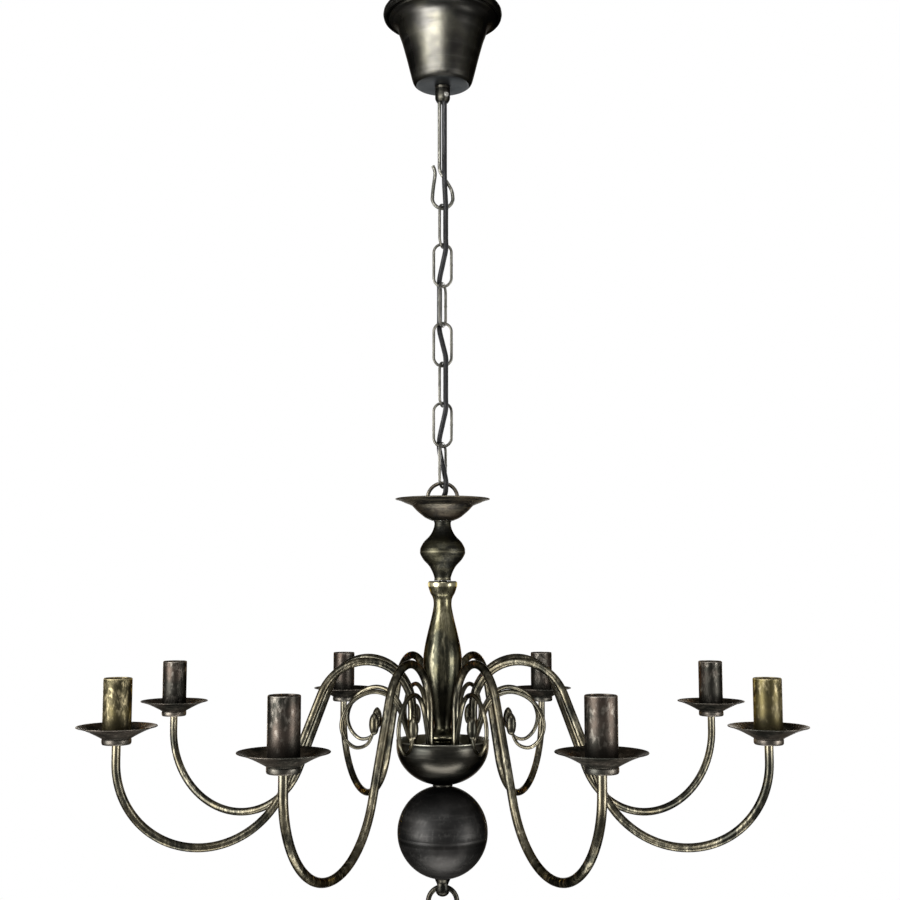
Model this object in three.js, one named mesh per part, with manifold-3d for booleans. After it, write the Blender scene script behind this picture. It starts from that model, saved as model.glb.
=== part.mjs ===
// Ceiling lamp with eight curved arms, hung from its canopy on an oval-link chain.
// Millimetres, +Z up. The origin is on the ceiling, on the lamp's own axis, so all heights
// are negative. The front of the lamp faces -Y.

import * as THREE from 'three';
import { mergeVertices } from 'three/addons/utils/BufferGeometryUtils.js';
import Module from 'manifold-3d';

const wasm = await Module();
wasm.setup();

// Clearance kept wherever one piece rests on or fits into another
const GAP = 0.3;

// Ceiling bracket: a strap with a stirrup under it
const BRACKET_LENGTH = 96;
const BRACKET_WIDTH = 18;
const BRACKET_PLATE = 3;
const SCREW_HOLE_SPACING = 78;
const SCREW_HOLE_RADIUS = 2.6;
const STIRRUP_HALF_WIDTH = 16;
const STIRRUP_DEPTH = 24.5;
const STIRRUP_WALL = 2.5;

// Terminal block under the strap
const BLOCK_LENGTH = 22;
const BLOCK_WIDTH = 16;
const BLOCK_HEIGHT = 12;
const BLOCK_OFFSET = 3;

// Canopy: a spun bell with a wide lip against the ceiling
const CANOPY_LIP_RADIUS = 63.2;
const CANOPY_LIP_HEIGHT = 10.3;
const CANOPY_SHOULDER_RADIUS = 46.9;
const CANOPY_FOOT_RADIUS = 31.4;
const CANOPY_HEIGHT = 84.7;
const CANOPY_WALL = 1.2;
const CANOPY_COVE = 14;
const CANOPY_LIP_ROUNDING = 2;
const CANOPY_FOOT_ROUNDING = 6.4;

// Collar that clamps the canopy on the hook shank
const COLLAR_RADIUS = 7.9;
const COLLAR_END_RADIUS = 6.1;
const COLLAR_LENGTH = 17;
const COLLAR_TAPER = 3.8;
const COLLAR_BORE = 5.5;
const COLLAR_NECK = 6.5;
const COLLAR_RIVET_RADIUS = 9;
const COLLAR_RIVET_HEIGHT = 1.4;
const SET_SCREW_RADIUS = 1.6;
const SET_SCREW_HEAD_RADIUS = 2.5;
const SET_SCREW_HEAD_HEIGHT = 1.6;
const SET_SCREW_DROP = 11;
const SET_SCREW_TURN = 27;

// Hook: one bent wire, its shank beside the cable
const HOOK_WIRE = 1.9;
const SHANK_X = -3.3;
const SHANK_TOP = 15;
const HOOK_LOOP_RADIUS = 10.8;
const HOOK_LOOP_BOTTOM = 217.4;
const HOOK_NECK_HEIGHT = 34;
const HOOK_NUT_RADIUS = 4.6;
const HOOK_NUT_HEIGHT = 3.6;

// Chain of oval links, every second one twisted by the cable that runs through it. A link's
// length and end radius are measured along the middle of its wire.
const LINK_COUNT = 7;
const LINK_WIRE = 1.5;
const LINK_END_RADIUS = 9.15;
const LINK_LENGTH = 45.15;
const LINK_TWIST = 70;

// Supply cable
const CABLE_RADIUS = 2.7;
const CABLE_X = 1.9;
const WEAVE_X = 3.2;
const WEAVE_Y = 4.65;
const PIVOT_X = 3.3;
const PIVOT_Y = 5.3;
const PIVOT_SPLIT = 1.15;

// Column: loop, dish, spindle and baluster, threaded on one tube
const TUBE_RADIUS = 5;
const TUBE_BORE = 3.6;
const LOOP_WIRE = 1.9;
const LOOP_RADIUS = 15.2;
const LOOP_BOSS_RADIUS = 8.5;
const LOOP_BOSS_HEIGHT = 9.2;
const DISH_RADIUS = 48.4;
const DISH_DEPTH = 22.7;
const DISH_WALL = 1.5;
const SPINDLE_LENGTH = 60.6;
const SPINDLE_RADIUS = 22.9;
const SPINDLE_NECK = 8.2;
const BALUSTER_LENGTH = 167.2;
const BALUSTER_CUP_RADIUS = 14.8;
const BALUSTER_RADIUS = 19.5;
const BALUSTER_NECK = 9.2;
const BALUSTER_ANKLE = 8.4;
const BALUSTER_FOOT_RADIUS = 26;
const BALUSTER_FOOT_HEIGHT = 31;

// Hub: two plates clamp the arm ends inside an open bowl. The bowl has a straight wall
// below its rim, a rounded bottom and a small seat.
const PLATE_RADIUS = 43.2;
const PLATE_THICKNESS = 2;
const CLAMP_RADIUS = 38.5;
const CLAMP_BOSS_RADIUS = 9;
const LEG_CLEARANCE = 0.7;
const WIRE_HOLE_RADIUS = 2.6;
const BOWL_RADIUS = 46.4;
const BOWL_WALL = 1.2;
const BOWL_STRAIGHT = 5.5;
const BOWL_ROUND_DEPTH = 39.3;
const BOWL_SEAT_RADIUS = 10;
const BOWL_SEAT_HEIGHT = 2.09;
const PLATE_BELOW_RIM = 9.85;

// Lower ball, finial and pull ring
const BALL_RADIUS = 45;
const BALL_WALL = 1.2;
const BALL_SEAT_RADIUS = 8;
const FINIAL_RADIUS = 7.2;
const FINIAL_LENGTH = 17.6;
const FINIAL_EYE_DROP = 8.4;
const RING_WIRE = 2.5;
const RING_RADIUS = 14.1;

// Arms
const ARM_COUNT = 8;
const ARM_FIRST_AZIMUTH = 22.5;
const ARM_TUBE = 4;
const ARM_REACH = 320;
const ARM_LEG_RADIUS = 33;
const ARM_LEG_LENGTH = 44.15;
const ARM_CREST_BEND = 49;
const ARM_RUN_SLOPE = 67.67;
const ARM_RUN_LENGTH = 91.66;
const ARM_RISER_LENGTH = 15.1;
const ARM_FLANGE_RADIUS = 6.2;
const ARM_FLANGE_THICKNESS = 2;
const SPIGOT_RADIUS = 3;
const SPIGOT_LENGTH = 9.5;

// Scroll brazed to each arm
const SCROLL_ROD = 2.4;
const SCROLL_REACH = 73.5;
const SCROLL_BUD_RADIUS = 3.4;
const SCROLL_BUD_LENGTH = 19;

// Drip cup, lamp holder and candle sleeve on each arm
const CUP_RADIUS = 36.5;
const CUP_DEPTH = 16.4;
const CUP_FOOT_RADIUS = 13.4;
const CUP_WALL = 1.2;
const CUP_LEDGE_HEIGHT = 7.3;
const CUP_DISH_WALL = 1.1;
const SLEEVE_RADIUS = 13;
const SLEEVE_WALL = 0.9;
const SLEEVE_LENGTH = 51.9;
const HOLDER_RADIUS = 11.4;
const HOLDER_STEM_RADIUS = 8;
const HOLDER_STEM_LENGTH = 13;
const HOLDER_BELOW_SLEEVE = 2;
const LAMP_BORE_RADIUS = 7.3;
const LAMP_BORE_DEPTH = 28;

const DEGREE = Math.PI / 180;

// A curve in the XZ plane, from a flat path of lines and arcs
class UprightCurve extends THREE.Curve {
  constructor(path) {
    super();
    this.path = path;
  }

  getPoint(t, target = new THREE.Vector3()) {
    const p = this.path.getPoint(t);
    return target.set(p.x, 0, p.y);
  }
}

function circle(radius, sides) {
  const points = [];
  for (let i = 0; i < sides; i++) {
    const a = (i / sides) * 2 * Math.PI;
    points.push(new THREE.Vector2(radius * Math.cos(a), radius * Math.sin(a)));
  }
  return new THREE.Shape(points);
}

function rod(curve, radius, sides, steps) {
  const options = { extrudePath: curve, steps, bevelEnabled: false, curveSegments: 1 };
  return new THREE.ExtrudeGeometry(circle(radius, sides), options);
}

// A turned piece from [radius, height] pairs, anticlockwise round its section
function turned(profile, segments) {
  const points = profile.map(([r, z]) => new THREE.Vector2(r, z));
  return new THREE.LatheGeometry(points, segments).rotateX(Math.PI / 2);
}

// A turned piece whose section is a closed loop away from the axis
function turnedRing(profile, segments) {
  return turned([...profile, profile[0]], segments);
}

function cylinder(radius, bottom, top, segments) {
  return new THREE.CylinderGeometry(radius, radius, top - bottom, segments)
    .rotateX(Math.PI / 2)
    .translate(0, 0, (top + bottom) / 2);
}

// Boolean operations on closed geometries
function toSolid(geometry) {
  const bare = geometry.clone();
  bare.deleteAttribute('normal');
  bare.deleteAttribute('uv');
  const merged = mergeVertices(bare, 1e-4);
  const corners = merged.index.array;
  const triangles = [];
  for (let i = 0; i < corners.length; i += 3) {
    const [a, b, c] = [corners[i], corners[i + 1], corners[i + 2]];
    if (a !== b && b !== c && c !== a) triangles.push(a, b, c);
  }
  const mesh = new wasm.Mesh({
    numProp: 3,
    vertProperties: new Float32Array(merged.attributes.position.array),
    triVerts: new Uint32Array(triangles),
  });
  return new wasm.Manifold(mesh);
}

function toGeometry(solid) {
  const mesh = solid.getMesh();
  const geometry = new THREE.BufferGeometry();
  geometry.setAttribute('position', new THREE.BufferAttribute(mesh.vertProperties, 3));
  geometry.setIndex(new THREE.BufferAttribute(mesh.triVerts, 1));
  return geometry;
}

function combine(base, added, removed = []) {
  let solid = toSolid(base);
  for (const piece of added) solid = solid.add(toSolid(piece));
  for (const piece of removed) solid = solid.subtract(toSolid(piece));
  return toGeometry(solid);
}

// Materials
function antiqueBlack() {
  return new THREE.MeshStandardMaterial({ color: 0x28241c, metalness: 0.85, roughness: 0.42 });
}

function antiqueGold() {
  return new THREE.MeshStandardMaterial({ color: 0x5a4a28, metalness: 0.9, roughness: 0.38 });
}

function bronzeWire() {
  return new THREE.MeshStandardMaterial({ color: 0x4d4a42, metalness: 0.9, roughness: 0.35 });
}

function zincPlate() {
  return new THREE.MeshStandardMaterial({ color: 0x9a9a96, metalness: 0.9, roughness: 0.4 });
}

function blackPlastic() {
  return new THREE.MeshStandardMaterial({ color: 0x121212, metalness: 0, roughness: 0.5 });
}

function whitePlastic() {
  return new THREE.MeshStandardMaterial({ color: 0xdedcd4, metalness: 0, roughness: 0.5 });
}

const lamp = new THREE.Group();

function place(name, geometry, material, parent = lamp) {
  const mesh = new THREE.Mesh(geometry, material);
  mesh.name = name;
  parent.add(mesh);
  return mesh;
}

// Ceiling bracket
function bracketOutline() {
  const half = BRACKET_LENGTH / 2;
  const outline = new THREE.Shape();
  outline.moveTo(-half, -BRACKET_PLATE);
  outline.lineTo(-STIRRUP_HALF_WIDTH, -BRACKET_PLATE);
  outline.lineTo(-STIRRUP_HALF_WIDTH, -STIRRUP_DEPTH);
  outline.lineTo(STIRRUP_HALF_WIDTH, -STIRRUP_DEPTH);
  outline.lineTo(STIRRUP_HALF_WIDTH, -BRACKET_PLATE);
  outline.lineTo(half, -BRACKET_PLATE);
  outline.lineTo(half, 0);
  outline.lineTo(-half, 0);
  const inner = STIRRUP_HALF_WIDTH - STIRRUP_WALL;
  const window = new THREE.Path();
  window.moveTo(-inner, -BRACKET_PLATE);
  window.lineTo(inner, -BRACKET_PLATE);
  window.lineTo(inner, -STIRRUP_DEPTH + STIRRUP_WALL);
  window.lineTo(-inner, -STIRRUP_DEPTH + STIRRUP_WALL);
  outline.holes.push(window);
  return outline;
}

function ceilingBracket() {
  const options = { depth: BRACKET_WIDTH, bevelEnabled: false };
  const strap = new THREE.ExtrudeGeometry(bracketOutline(), options)
    .rotateX(Math.PI / 2)
    .translate(0, BRACKET_WIDTH / 2, 0);
  const holes = [-1, 1].map((side) =>
    cylinder(SCREW_HOLE_RADIUS, -BRACKET_PLATE - 1, 1, 12)
      .translate(side * SCREW_HOLE_SPACING / 2, 0, 0));
  const shankHole = cylinder(HOOK_WIRE + GAP, -STIRRUP_DEPTH - 1, -STIRRUP_DEPTH + STIRRUP_WALL + 1, 12)
    .translate(SHANK_X, 0, 0);
  return combine(strap, [], [...holes, shankHole]);
}

place('ceiling_bracket', ceilingBracket(), zincPlate());

// Terminal block
const blockStart = STIRRUP_HALF_WIDTH + BLOCK_OFFSET;

function terminalBlock() {
  const top = -BRACKET_PLATE - GAP;
  const body = new THREE.BoxGeometry(BLOCK_LENGTH, BLOCK_WIDTH, BLOCK_HEIGHT)
    .translate(blockStart + BLOCK_LENGTH / 2, 0, top - BLOCK_HEIGHT / 2);
  const pitch = BLOCK_WIDTH / 3;
  const wells = [-1, 0, 1].map((row) =>
    cylinder(pitch / 3.4, -4, 4, 10)
      .rotateY(Math.PI / 2)
      .translate(blockStart + BLOCK_LENGTH, row * pitch, top - BLOCK_HEIGHT * 0.55));
  return combine(body, [], wells);
}

place('terminal_block', terminalBlock(), whitePlastic());

// Hook: shank, loop and the open tip beside the shank
const hookBottom = -HOOK_LOOP_BOTTOM;
const hookCentre = hookBottom + HOOK_LOOP_RADIUS;

const shankFoot = hookCentre + HOOK_NECK_HEIGHT;

// Past the shank the wire is a line through shares of the loop's radius and the neck's height
function hookCurve() {
  const at = ([across, up]) => [across * HOOK_LOOP_RADIUS, hookCentre + up * HOOK_NECK_HEIGHT];
  const points = [
    [SHANK_X, shankFoot + HOOK_WIRE / 2],
    [SHANK_X, shankFoot],
    ...[[-0.222, 0.838], [0.12, 0.647], [0.519, 0.459], [0.861, 0.253]].map(at),
  ];
  for (let i = 0; i <= 8; i++) {
    const a = (12 - i * 25.5) * DEGREE;
    points.push([HOOK_LOOP_RADIUS * Math.cos(a), hookCentre + HOOK_LOOP_RADIUS * Math.sin(a)]);
  }
  const openTip = [[-0.898, 0.335], [-0.787, 0.588], [-0.731, 0.765], [-0.796, 0.912], [-0.944, 1.029]];
  points.push(...openTip.map(at));
  return new THREE.CatmullRomCurve3(points.map(([x, z]) => new THREE.Vector3(x, 0, z)));
}

function hook() {
  const shank = cylinder(HOOK_WIRE, shankFoot, -SHANK_TOP, 8).translate(SHANK_X, 0, 0);
  return combine(shank, [rod(hookCurve(), HOOK_WIRE, 6, 30)]);
}

place('hook', hook(), bronzeWire());

function hookNut() {
  const bottom = -STIRRUP_DEPTH + STIRRUP_WALL + GAP;
  const top = bottom + HOOK_NUT_HEIGHT;
  const blank = cylinder(HOOK_NUT_RADIUS, bottom, top, 6);
  const thread = cylinder(HOOK_WIRE + GAP, bottom - 1, top + 1, 12);
  return combine(blank, [], [thread]).translate(SHANK_X, 0, 0);
}

place('hook_nut', hookNut(), zincPlate());

// Canopy: the outer line runs from the flat bottom up the side, through the cove to the lip
function canopyOutside() {
  const lip = CANOPY_LIP_RADIUS;
  const lipFoot = -CANOPY_LIP_HEIGHT;
  const lipRound = CANOPY_LIP_ROUNDING;
  const shoulder = CANOPY_SHOULDER_RADIUS;
  const cove = CANOPY_COVE;
  const foot = CANOPY_FOOT_RADIUS;
  const footRound = CANOPY_FOOT_ROUNDING;
  const bottom = -CANOPY_HEIGHT;
  const sideFoot = new THREE.Vector2(foot, bottom + footRound * 0.72);
  const sideTop = new THREE.Vector2(shoulder - cove * 0.1, lipFoot - cove);
  const middle = sideFoot.clone().lerp(sideTop, 0.53);
  return [
    [foot - footRound, bottom],
    [foot - footRound * 0.4, bottom + footRound * 0.2],
    sideFoot.toArray(),
    middle.toArray(),
    sideTop.toArray(),
    [shoulder, lipFoot - cove * 0.56],
    [shoulder + cove * 0.25, lipFoot - cove * 0.2],
    [lip - lipRound, lipFoot],
    [lip, lipFoot + lipRound * 0.9],
    [lip, -GAP],
  ];
}

function canopy() {
  const outside = canopyOutside();
  const inside = outside
    .slice(0, -1)
    .reverse()
    .map(([r, z]) => [r - CANOPY_WALL, z + CANOPY_WALL * 0.9]);
  const hole = COLLAR_NECK + GAP;
  const profile = [
    [hole, -CANOPY_HEIGHT],
    ...outside,
    [CANOPY_LIP_RADIUS - CANOPY_WALL, -GAP],
    ...inside,
    [hole, -CANOPY_HEIGHT + CANOPY_WALL * 0.9],
  ];
  return turnedRing(profile, 20);
}

place('canopy', canopy(), antiqueBlack());

// Canopy collar, riveted over inside the bell
function canopyCollar() {
  const top = -CANOPY_HEIGHT - GAP;
  const bottom = top - COLLAR_LENGTH;
  const rivet = -CANOPY_HEIGHT + CANOPY_WALL * 0.9 + GAP;
  const profile = [
    [COLLAR_BORE, bottom],
    [COLLAR_END_RADIUS, bottom],
    [COLLAR_RADIUS, bottom + COLLAR_TAPER],
    [COLLAR_RADIUS, top],
    [COLLAR_NECK, top],
    [COLLAR_NECK, rivet],
    [COLLAR_RIVET_RADIUS, rivet],
    [COLLAR_RIVET_RADIUS - 0.6, rivet + COLLAR_RIVET_HEIGHT],
    [COLLAR_BORE, rivet + COLLAR_RIVET_HEIGHT],
  ];
  const tapped = radialCylinder(SET_SCREW_RADIUS + GAP, COLLAR_BORE - 1.5, COLLAR_RADIUS + 1);
  return combine(turnedRing(profile, 16), [], [tapped]);
}

// A cylinder lying along the set screw's own direction
function radialCylinder(radius, from, to) {
  return new THREE.CylinderGeometry(radius, radius, to - from, 10)
    .translate(0, (to + from) / 2, 0)
    .rotateZ(Math.PI + SET_SCREW_TURN * DEGREE)
    .translate(0, 0, -CANOPY_HEIGHT - GAP - SET_SCREW_DROP);
}

place('canopy_collar', canopyCollar(), antiqueBlack());

function setScrew() {
  const tip = CABLE_RADIUS + GAP + 0.8;
  const shaft = radialCylinder(SET_SCREW_RADIUS, tip, COLLAR_RADIUS + GAP + 0.5);
  const headFoot = COLLAR_RADIUS + GAP;
  const head = radialCylinder(SET_SCREW_HEAD_RADIUS, headFoot, headFoot + SET_SCREW_HEAD_HEIGHT);
  return combine(shaft, [head]);
}

place('canopy_set_screw', setScrew(), zincPlate());

// Chain: a torus pulled out into an oval for each link
const linkPitch = LINK_LENGTH - 2 * LINK_WIRE - GAP;
const firstLinkTop = hookBottom + HOOK_WIRE + LINK_WIRE + GAP;

function chainLink() {
  const rings = 14;
  const geometry = new THREE.TorusGeometry(LINK_END_RADIUS, LINK_WIRE, 6, rings)
    .rotateZ(Math.PI / rings)
    .rotateX(Math.PI / 2);
  const stretch = LINK_LENGTH / 2 - LINK_END_RADIUS;
  const position = geometry.attributes.position;
  for (let i = 0; i < position.count; i++) {
    const z = position.getZ(i);
    position.setZ(i, z + Math.sign(z) * stretch);
  }
  return geometry;
}

for (let i = 0; i < LINK_COUNT; i++) {
  const link = place(`chain_link_${i + 1}`, chainLink(), bronzeWire());
  link.position.z = firstLinkTop - LINK_LENGTH / 2 - i * linkPitch;
  link.rotation.z = i % 2 === 0 ? LINK_TWIST * DEGREE : 0;
}

// Height where the wires of link i and the one below it cross
function crossing(i) {
  return firstLinkTop - (i + 1) * linkPitch + GAP / 2 - LINK_WIRE;
}

const chainPivot = hookBottom;
const lampPivot = firstLinkTop - (LINK_COUNT - 1) * linkPitch - LINK_LENGTH;

// Supply cable: terminal block to hook, along the chain, then down the column
const blockFloor = -BRACKET_PLATE - GAP - BLOCK_HEIGHT;

const canopyRoute = [
  [30, 0, blockFloor - GAP],
  [29.5, 0, blockFloor - 9],
  [25, 0, blockFloor - 19],
  [15, 0, blockFloor - 30],
  [6, 0, blockFloor - 41],
  [2.4, 0, blockFloor - 53],
  [CABLE_X, 0, blockFloor - 66],
  [CABLE_X, 0, -110],
  [CABLE_X, 0, hookCentre + 52],
  [CABLE_X, -0.6, hookCentre + 44],
  [CABLE_X, -3.8, hookCentre + 34],
  [CABLE_X, -PIVOT_Y, hookCentre + 24],
  [2.1, -PIVOT_Y, hookCentre + 14],
  [2.7, -PIVOT_Y, hookCentre + 2],
  [PIVOT_X, -PIVOT_Y, chainPivot + PIVOT_SPLIT],
];

// The cable passes each crossing in the wider angle between the wires. It goes through every
// second link and the last one, from front to back or the other way, so it ends in front.
function chainRoute() {
  const route = [
    [PIVOT_X, -PIVOT_Y, chainPivot - PIVOT_SPLIT],
    [WEAVE_X, -WEAVE_Y - 0.4, chainPivot - 10],
    [WEAVE_X, -WEAVE_Y, crossing(0) + 16],
  ];
  let side = 1;
  for (let i = 0; i < LINK_COUNT - 1; i++) {
    const z = crossing(i);
    route.push([side * WEAVE_X, -side * WEAVE_Y, z + 6]);
    route.push([side * WEAVE_X, -side * WEAVE_Y, z - 6]);
    if (i % 2 === 0 || i === LINK_COUNT - 2) {
      route.push([0, 0, z - linkPitch / 2]);
      side = -side;
    }
  }
  route.push([side * PIVOT_X, -side * PIVOT_Y, lampPivot + 6]);
  route.push([side * PIVOT_X, -side * PIVOT_Y, lampPivot + PIVOT_SPLIT]);
  return route;
}

// Drop of the bowl's rounded bottom from its belly to its seat
function roundDrop(radius, depth) {
  return depth * Math.sqrt(1 - (BOWL_SEAT_RADIUS / radius) ** 2);
}

// Column heights, each piece resting on the one below it
const loopTop = lampPivot + LINK_WIRE + GAP + LOOP_WIRE;
const loopCentre = loopTop - LOOP_RADIUS;
const loopBottom = loopCentre - LOOP_RADIUS;
const bossTop = loopBottom + LOOP_WIRE + 1.6;
const bossBottom = bossTop - LOOP_BOSS_HEIGHT;
const dishFloor = bossBottom - GAP;
const dishFoot = dishFloor - DISH_WALL;
const spindleTop = dishFoot - GAP;
const spindleFoot = spindleTop - SPINDLE_LENGTH;
const balusterTop = spindleFoot - GAP;
const balusterFoot = balusterTop - BALUSTER_LENGTH;
const plateTop = balusterFoot - GAP;
const plateFoot = plateTop - PLATE_THICKNESS;
const flangeTop = plateFoot - GAP;
const flangeFoot = flangeTop - ARM_FLANGE_THICKNESS;
const clampTop = flangeFoot - GAP;
const bowlRim = plateTop + PLATE_BELOW_RIM;
const bowlBelly = bowlRim - BOWL_STRAIGHT;
const bowlInner = BOWL_RADIUS - BOWL_WALL;
const bowlFoot = bowlBelly - roundDrop(BOWL_RADIUS, BOWL_ROUND_DEPTH) - BOWL_SEAT_HEIGHT;
const bowlFloor = bowlBelly - roundDrop(bowlInner, BOWL_ROUND_DEPTH - BOWL_WALL);
const ballTop = bowlFoot - GAP;
const ballSeatDepth = Math.sqrt(BALL_RADIUS ** 2 - BALL_SEAT_RADIUS ** 2);
const ballCentre = ballTop - ballSeatDepth;
const ballFoot = ballCentre - ballSeatDepth;
const finialTop = ballFoot - GAP;
const eyeHeight = finialTop - FINIAL_EYE_DROP;
const tubeTop = bossTop - 3.9;
const tubeFoot = finialTop - 4;

const columnRoute = [
  [PIVOT_X, -PIVOT_Y, lampPivot - PIVOT_SPLIT],
  [PIVOT_X - 0.4, 0.5 - PIVOT_Y, lampPivot - 6],
  [1.6, -2.9, loopCentre + 2],
  [0.4, -0.7, loopCentre - 7],
  [0, 0, loopBottom + 3],
  [0, 0, loopBottom - 8],
  [0, 0, (loopBottom + clampTop) / 2],
  [0, 0, clampTop],
];

function cable(route, steps) {
  const points = route.map(([x, y, z]) => new THREE.Vector3(x, y, z));
  return rod(new THREE.CatmullRomCurve3(points), CABLE_RADIUS, 8, steps);
}

place('cable_in_canopy', cable(canopyRoute, 20), blackPlastic());
place('cable_in_chain', cable(chainRoute(), 46), blackPlastic());
place('cable_in_column', cable(columnRoute, 14), blackPlastic());

// Column loop: the ring that the chain carries, on a hollow boss
function columnLoop() {
  const loop = new THREE.TorusGeometry(LOOP_RADIUS, LOOP_WIRE, 8, 16)
    .rotateX(Math.PI / 2)
    .translate(0, 0, loopCentre);
  const boss = cylinder(LOOP_BOSS_RADIUS, bossBottom, bossTop, 16);
  const cableHole = cylinder(TUBE_BORE + 0.2, bossBottom - 1, bossTop + 6, 12);
  const thread = cylinder(TUBE_RADIUS + GAP, bossBottom - 1, tubeTop + GAP, 12);
  return combine(loop, [boss], [cableHole, thread]);
}

place('column_loop', columnLoop(), antiqueBlack());

function centralTube() {
  return turnedRing([
    [TUBE_BORE, tubeFoot],
    [TUBE_RADIUS, tubeFoot],
    [TUBE_RADIUS, tubeTop],
    [TUBE_BORE, tubeTop],
  ], 12);
}

place('central_tube', centralTube(), zincPlate());

const columnBore = TUBE_RADIUS + GAP;

// Top dish: a thin sloping rim over a deeper bowl
function topDish() {
  const rim = dishFoot + DISH_DEPTH;
  const section = [
    [0.22, 0],
    [0.36, 0.126],
    [0.45, 0.275],
    [0.57, 0.515],
    [0.64, 0.665],
    [0.78, 0.79],
    [0.88, 0.9],
    [1, 0.965],
  ];
  const under = section.map(([r, h]) => [r * DISH_RADIUS, dishFoot + h * DISH_DEPTH]);
  const over = section
    .slice(0, -1)
    .reverse()
    .map(([r, h]) => [r * DISH_RADIUS - 0.4, dishFoot + h * DISH_DEPTH + DISH_WALL]);
  const profile = [
    [columnBore, dishFoot],
    ...under,
    [DISH_RADIUS - 0.4, rim],
    ...over,
    [columnBore, dishFloor],
  ];
  return turnedRing(profile, 20);
}

place('top_dish', topDish(), antiqueBlack());

// Spindle with a round bulb
function bulbSpindle() {
  const z = (share) => spindleTop - share * SPINDLE_LENGTH;
  const widest = SPINDLE_RADIUS;
  return turnedRing([
    [columnBore, z(1)],
    [SPINDLE_NECK, z(1)],
    [SPINDLE_NECK * 1.11, z(0.91)],
    [SPINDLE_NECK * 1.29, z(0.83)],
    [widest * 0.58, z(0.76)],
    [widest * 0.83, z(0.665)],
    [widest * 0.985, z(0.57)],
    [widest, z(0.5)],
    [widest * 0.91, z(0.4)],
    [widest * 0.63, z(0.285)],
    [SPINDLE_NECK * 1.29, z(0.2)],
    [SPINDLE_NECK * 1.11, z(0.12)],
    [SPINDLE_NECK, z(0.06)],
    [SPINDLE_NECK * 1.12, z(0)],
    [columnBore, z(0)],
  ], 16);
}

place('bulb_spindle', bulbSpindle(), antiqueBlack());

// Baluster with a flared cup at its head and a stepped foot
function baluster() {
  const z = (share) => balusterTop - share * BALUSTER_LENGTH;
  const foot = (share) => balusterFoot + share * BALUSTER_FOOT_HEIGHT;
  const widest = BALUSTER_RADIUS;
  return turnedRing([
    [columnBore, foot(0)],
    [BALUSTER_FOOT_RADIUS, foot(0)],
    [BALUSTER_FOOT_RADIUS * 0.84, foot(0.13)],
    [BALUSTER_FOOT_RADIUS * 0.45, foot(0.26)],
    [BALUSTER_FOOT_RADIUS * 0.6, foot(0.36)],
    [BALUSTER_FOOT_RADIUS * 0.57, foot(0.45)],
    [BALUSTER_ANKLE, foot(0.68)],
    [BALUSTER_ANKLE * 1.14, foot(1)],
    [widest * 0.65, z(0.743)],
    [widest * 0.85, z(0.636)],
    [widest * 0.97, z(0.547)],
    [widest, z(0.47)],
    [widest * 0.95, z(0.398)],
    [widest * 0.82, z(0.327)],
    [widest * 0.66, z(0.256)],
    [BALUSTER_NECK * 1.11, z(0.19)],
    [BALUSTER_NECK, z(0.131)],
    [BALUSTER_NECK * 1.15, z(0.089)],
    [BALUSTER_CUP_RADIUS * 0.88, z(0.06)],
    [BALUSTER_CUP_RADIUS, z(0.021)],
    [BALUSTER_CUP_RADIUS * 0.95, z(0)],
    [columnBore, z(0)],
  ], 16);
}

place('baluster', baluster(), antiqueBlack());

// Hub plates
function legHoles(radius, bottom, top) {
  const holes = [];
  for (let i = 0; i < ARM_COUNT; i++) {
    const hole = cylinder(radius, bottom, top, 8)
      .translate(ARM_LEG_RADIUS, 0, 0)
      .rotateZ(armTurn(i));
    holes.push(hole);
  }
  return holes;
}

// Turn about the axis that carries arm i from +X to its own azimuth
function armTurn(i) {
  return (ARM_FIRST_AZIMUTH - 90 + (i * 360) / ARM_COUNT) * DEGREE;
}

function hubPlate() {
  const disc = turnedRing([
    [columnBore, plateFoot],
    [PLATE_RADIUS, plateFoot],
    [PLATE_RADIUS, plateTop],
    [columnBore, plateTop],
  ], 20);
  return combine(disc, [], legHoles(ARM_TUBE + LEG_CLEARANCE, plateFoot - 1, plateTop + 1));
}

place('hub_plate', hubPlate(), antiqueBlack());

function clampPlate() {
  const foot = clampTop - PLATE_THICKNESS;
  const disc = turnedRing([
    [columnBore, bowlFloor + GAP],
    [CLAMP_BOSS_RADIUS, bowlFloor + GAP],
    [CLAMP_BOSS_RADIUS, foot],
    [CLAMP_RADIUS, foot],
    [CLAMP_RADIUS, clampTop],
    [columnBore, clampTop],
  ], 20);
  return combine(disc, [], legHoles(WIRE_HOLE_RADIUS, foot - 1, clampTop + 1));
}

place('clamp_plate', clampPlate(), zincPlate());

// Section points on a sphere, between two heights measured from its centre
function sphereArc(radius, centre, from, to, steps) {
  const start = Math.asin(from / radius);
  const end = Math.asin(to / radius);
  const points = [];
  for (let i = 0; i <= steps; i++) {
    const a = start + (end - start) * (i / steps);
    points.push([radius * Math.cos(a), centre + radius * Math.sin(a)]);
  }
  return points;
}

// Section points of the bowl's rounded bottom, from its seat out to its belly
function roundedBottom(radius, depth, steps) {
  const start = Math.acos(BOWL_SEAT_RADIUS / radius);
  const points = [];
  for (let i = 0; i <= steps; i++) {
    const a = start * (1 - i / steps);
    points.push([radius * Math.cos(a), bowlBelly - depth * Math.sin(a)]);
  }
  return points;
}

// Open bowl that hides the clamp
function hubBowl() {
  return turnedRing([
    [columnBore, bowlFoot],
    [BOWL_SEAT_RADIUS, bowlFoot],
    ...roundedBottom(BOWL_RADIUS, BOWL_ROUND_DEPTH, 6),
    [BOWL_RADIUS, bowlRim],
    [bowlInner, bowlRim],
    ...roundedBottom(bowlInner, BOWL_ROUND_DEPTH - BOWL_WALL, 5).reverse(),
    [columnBore, bowlFloor],
  ], 20);
}

place('hub_bowl', hubBowl(), antiqueBlack());

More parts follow.
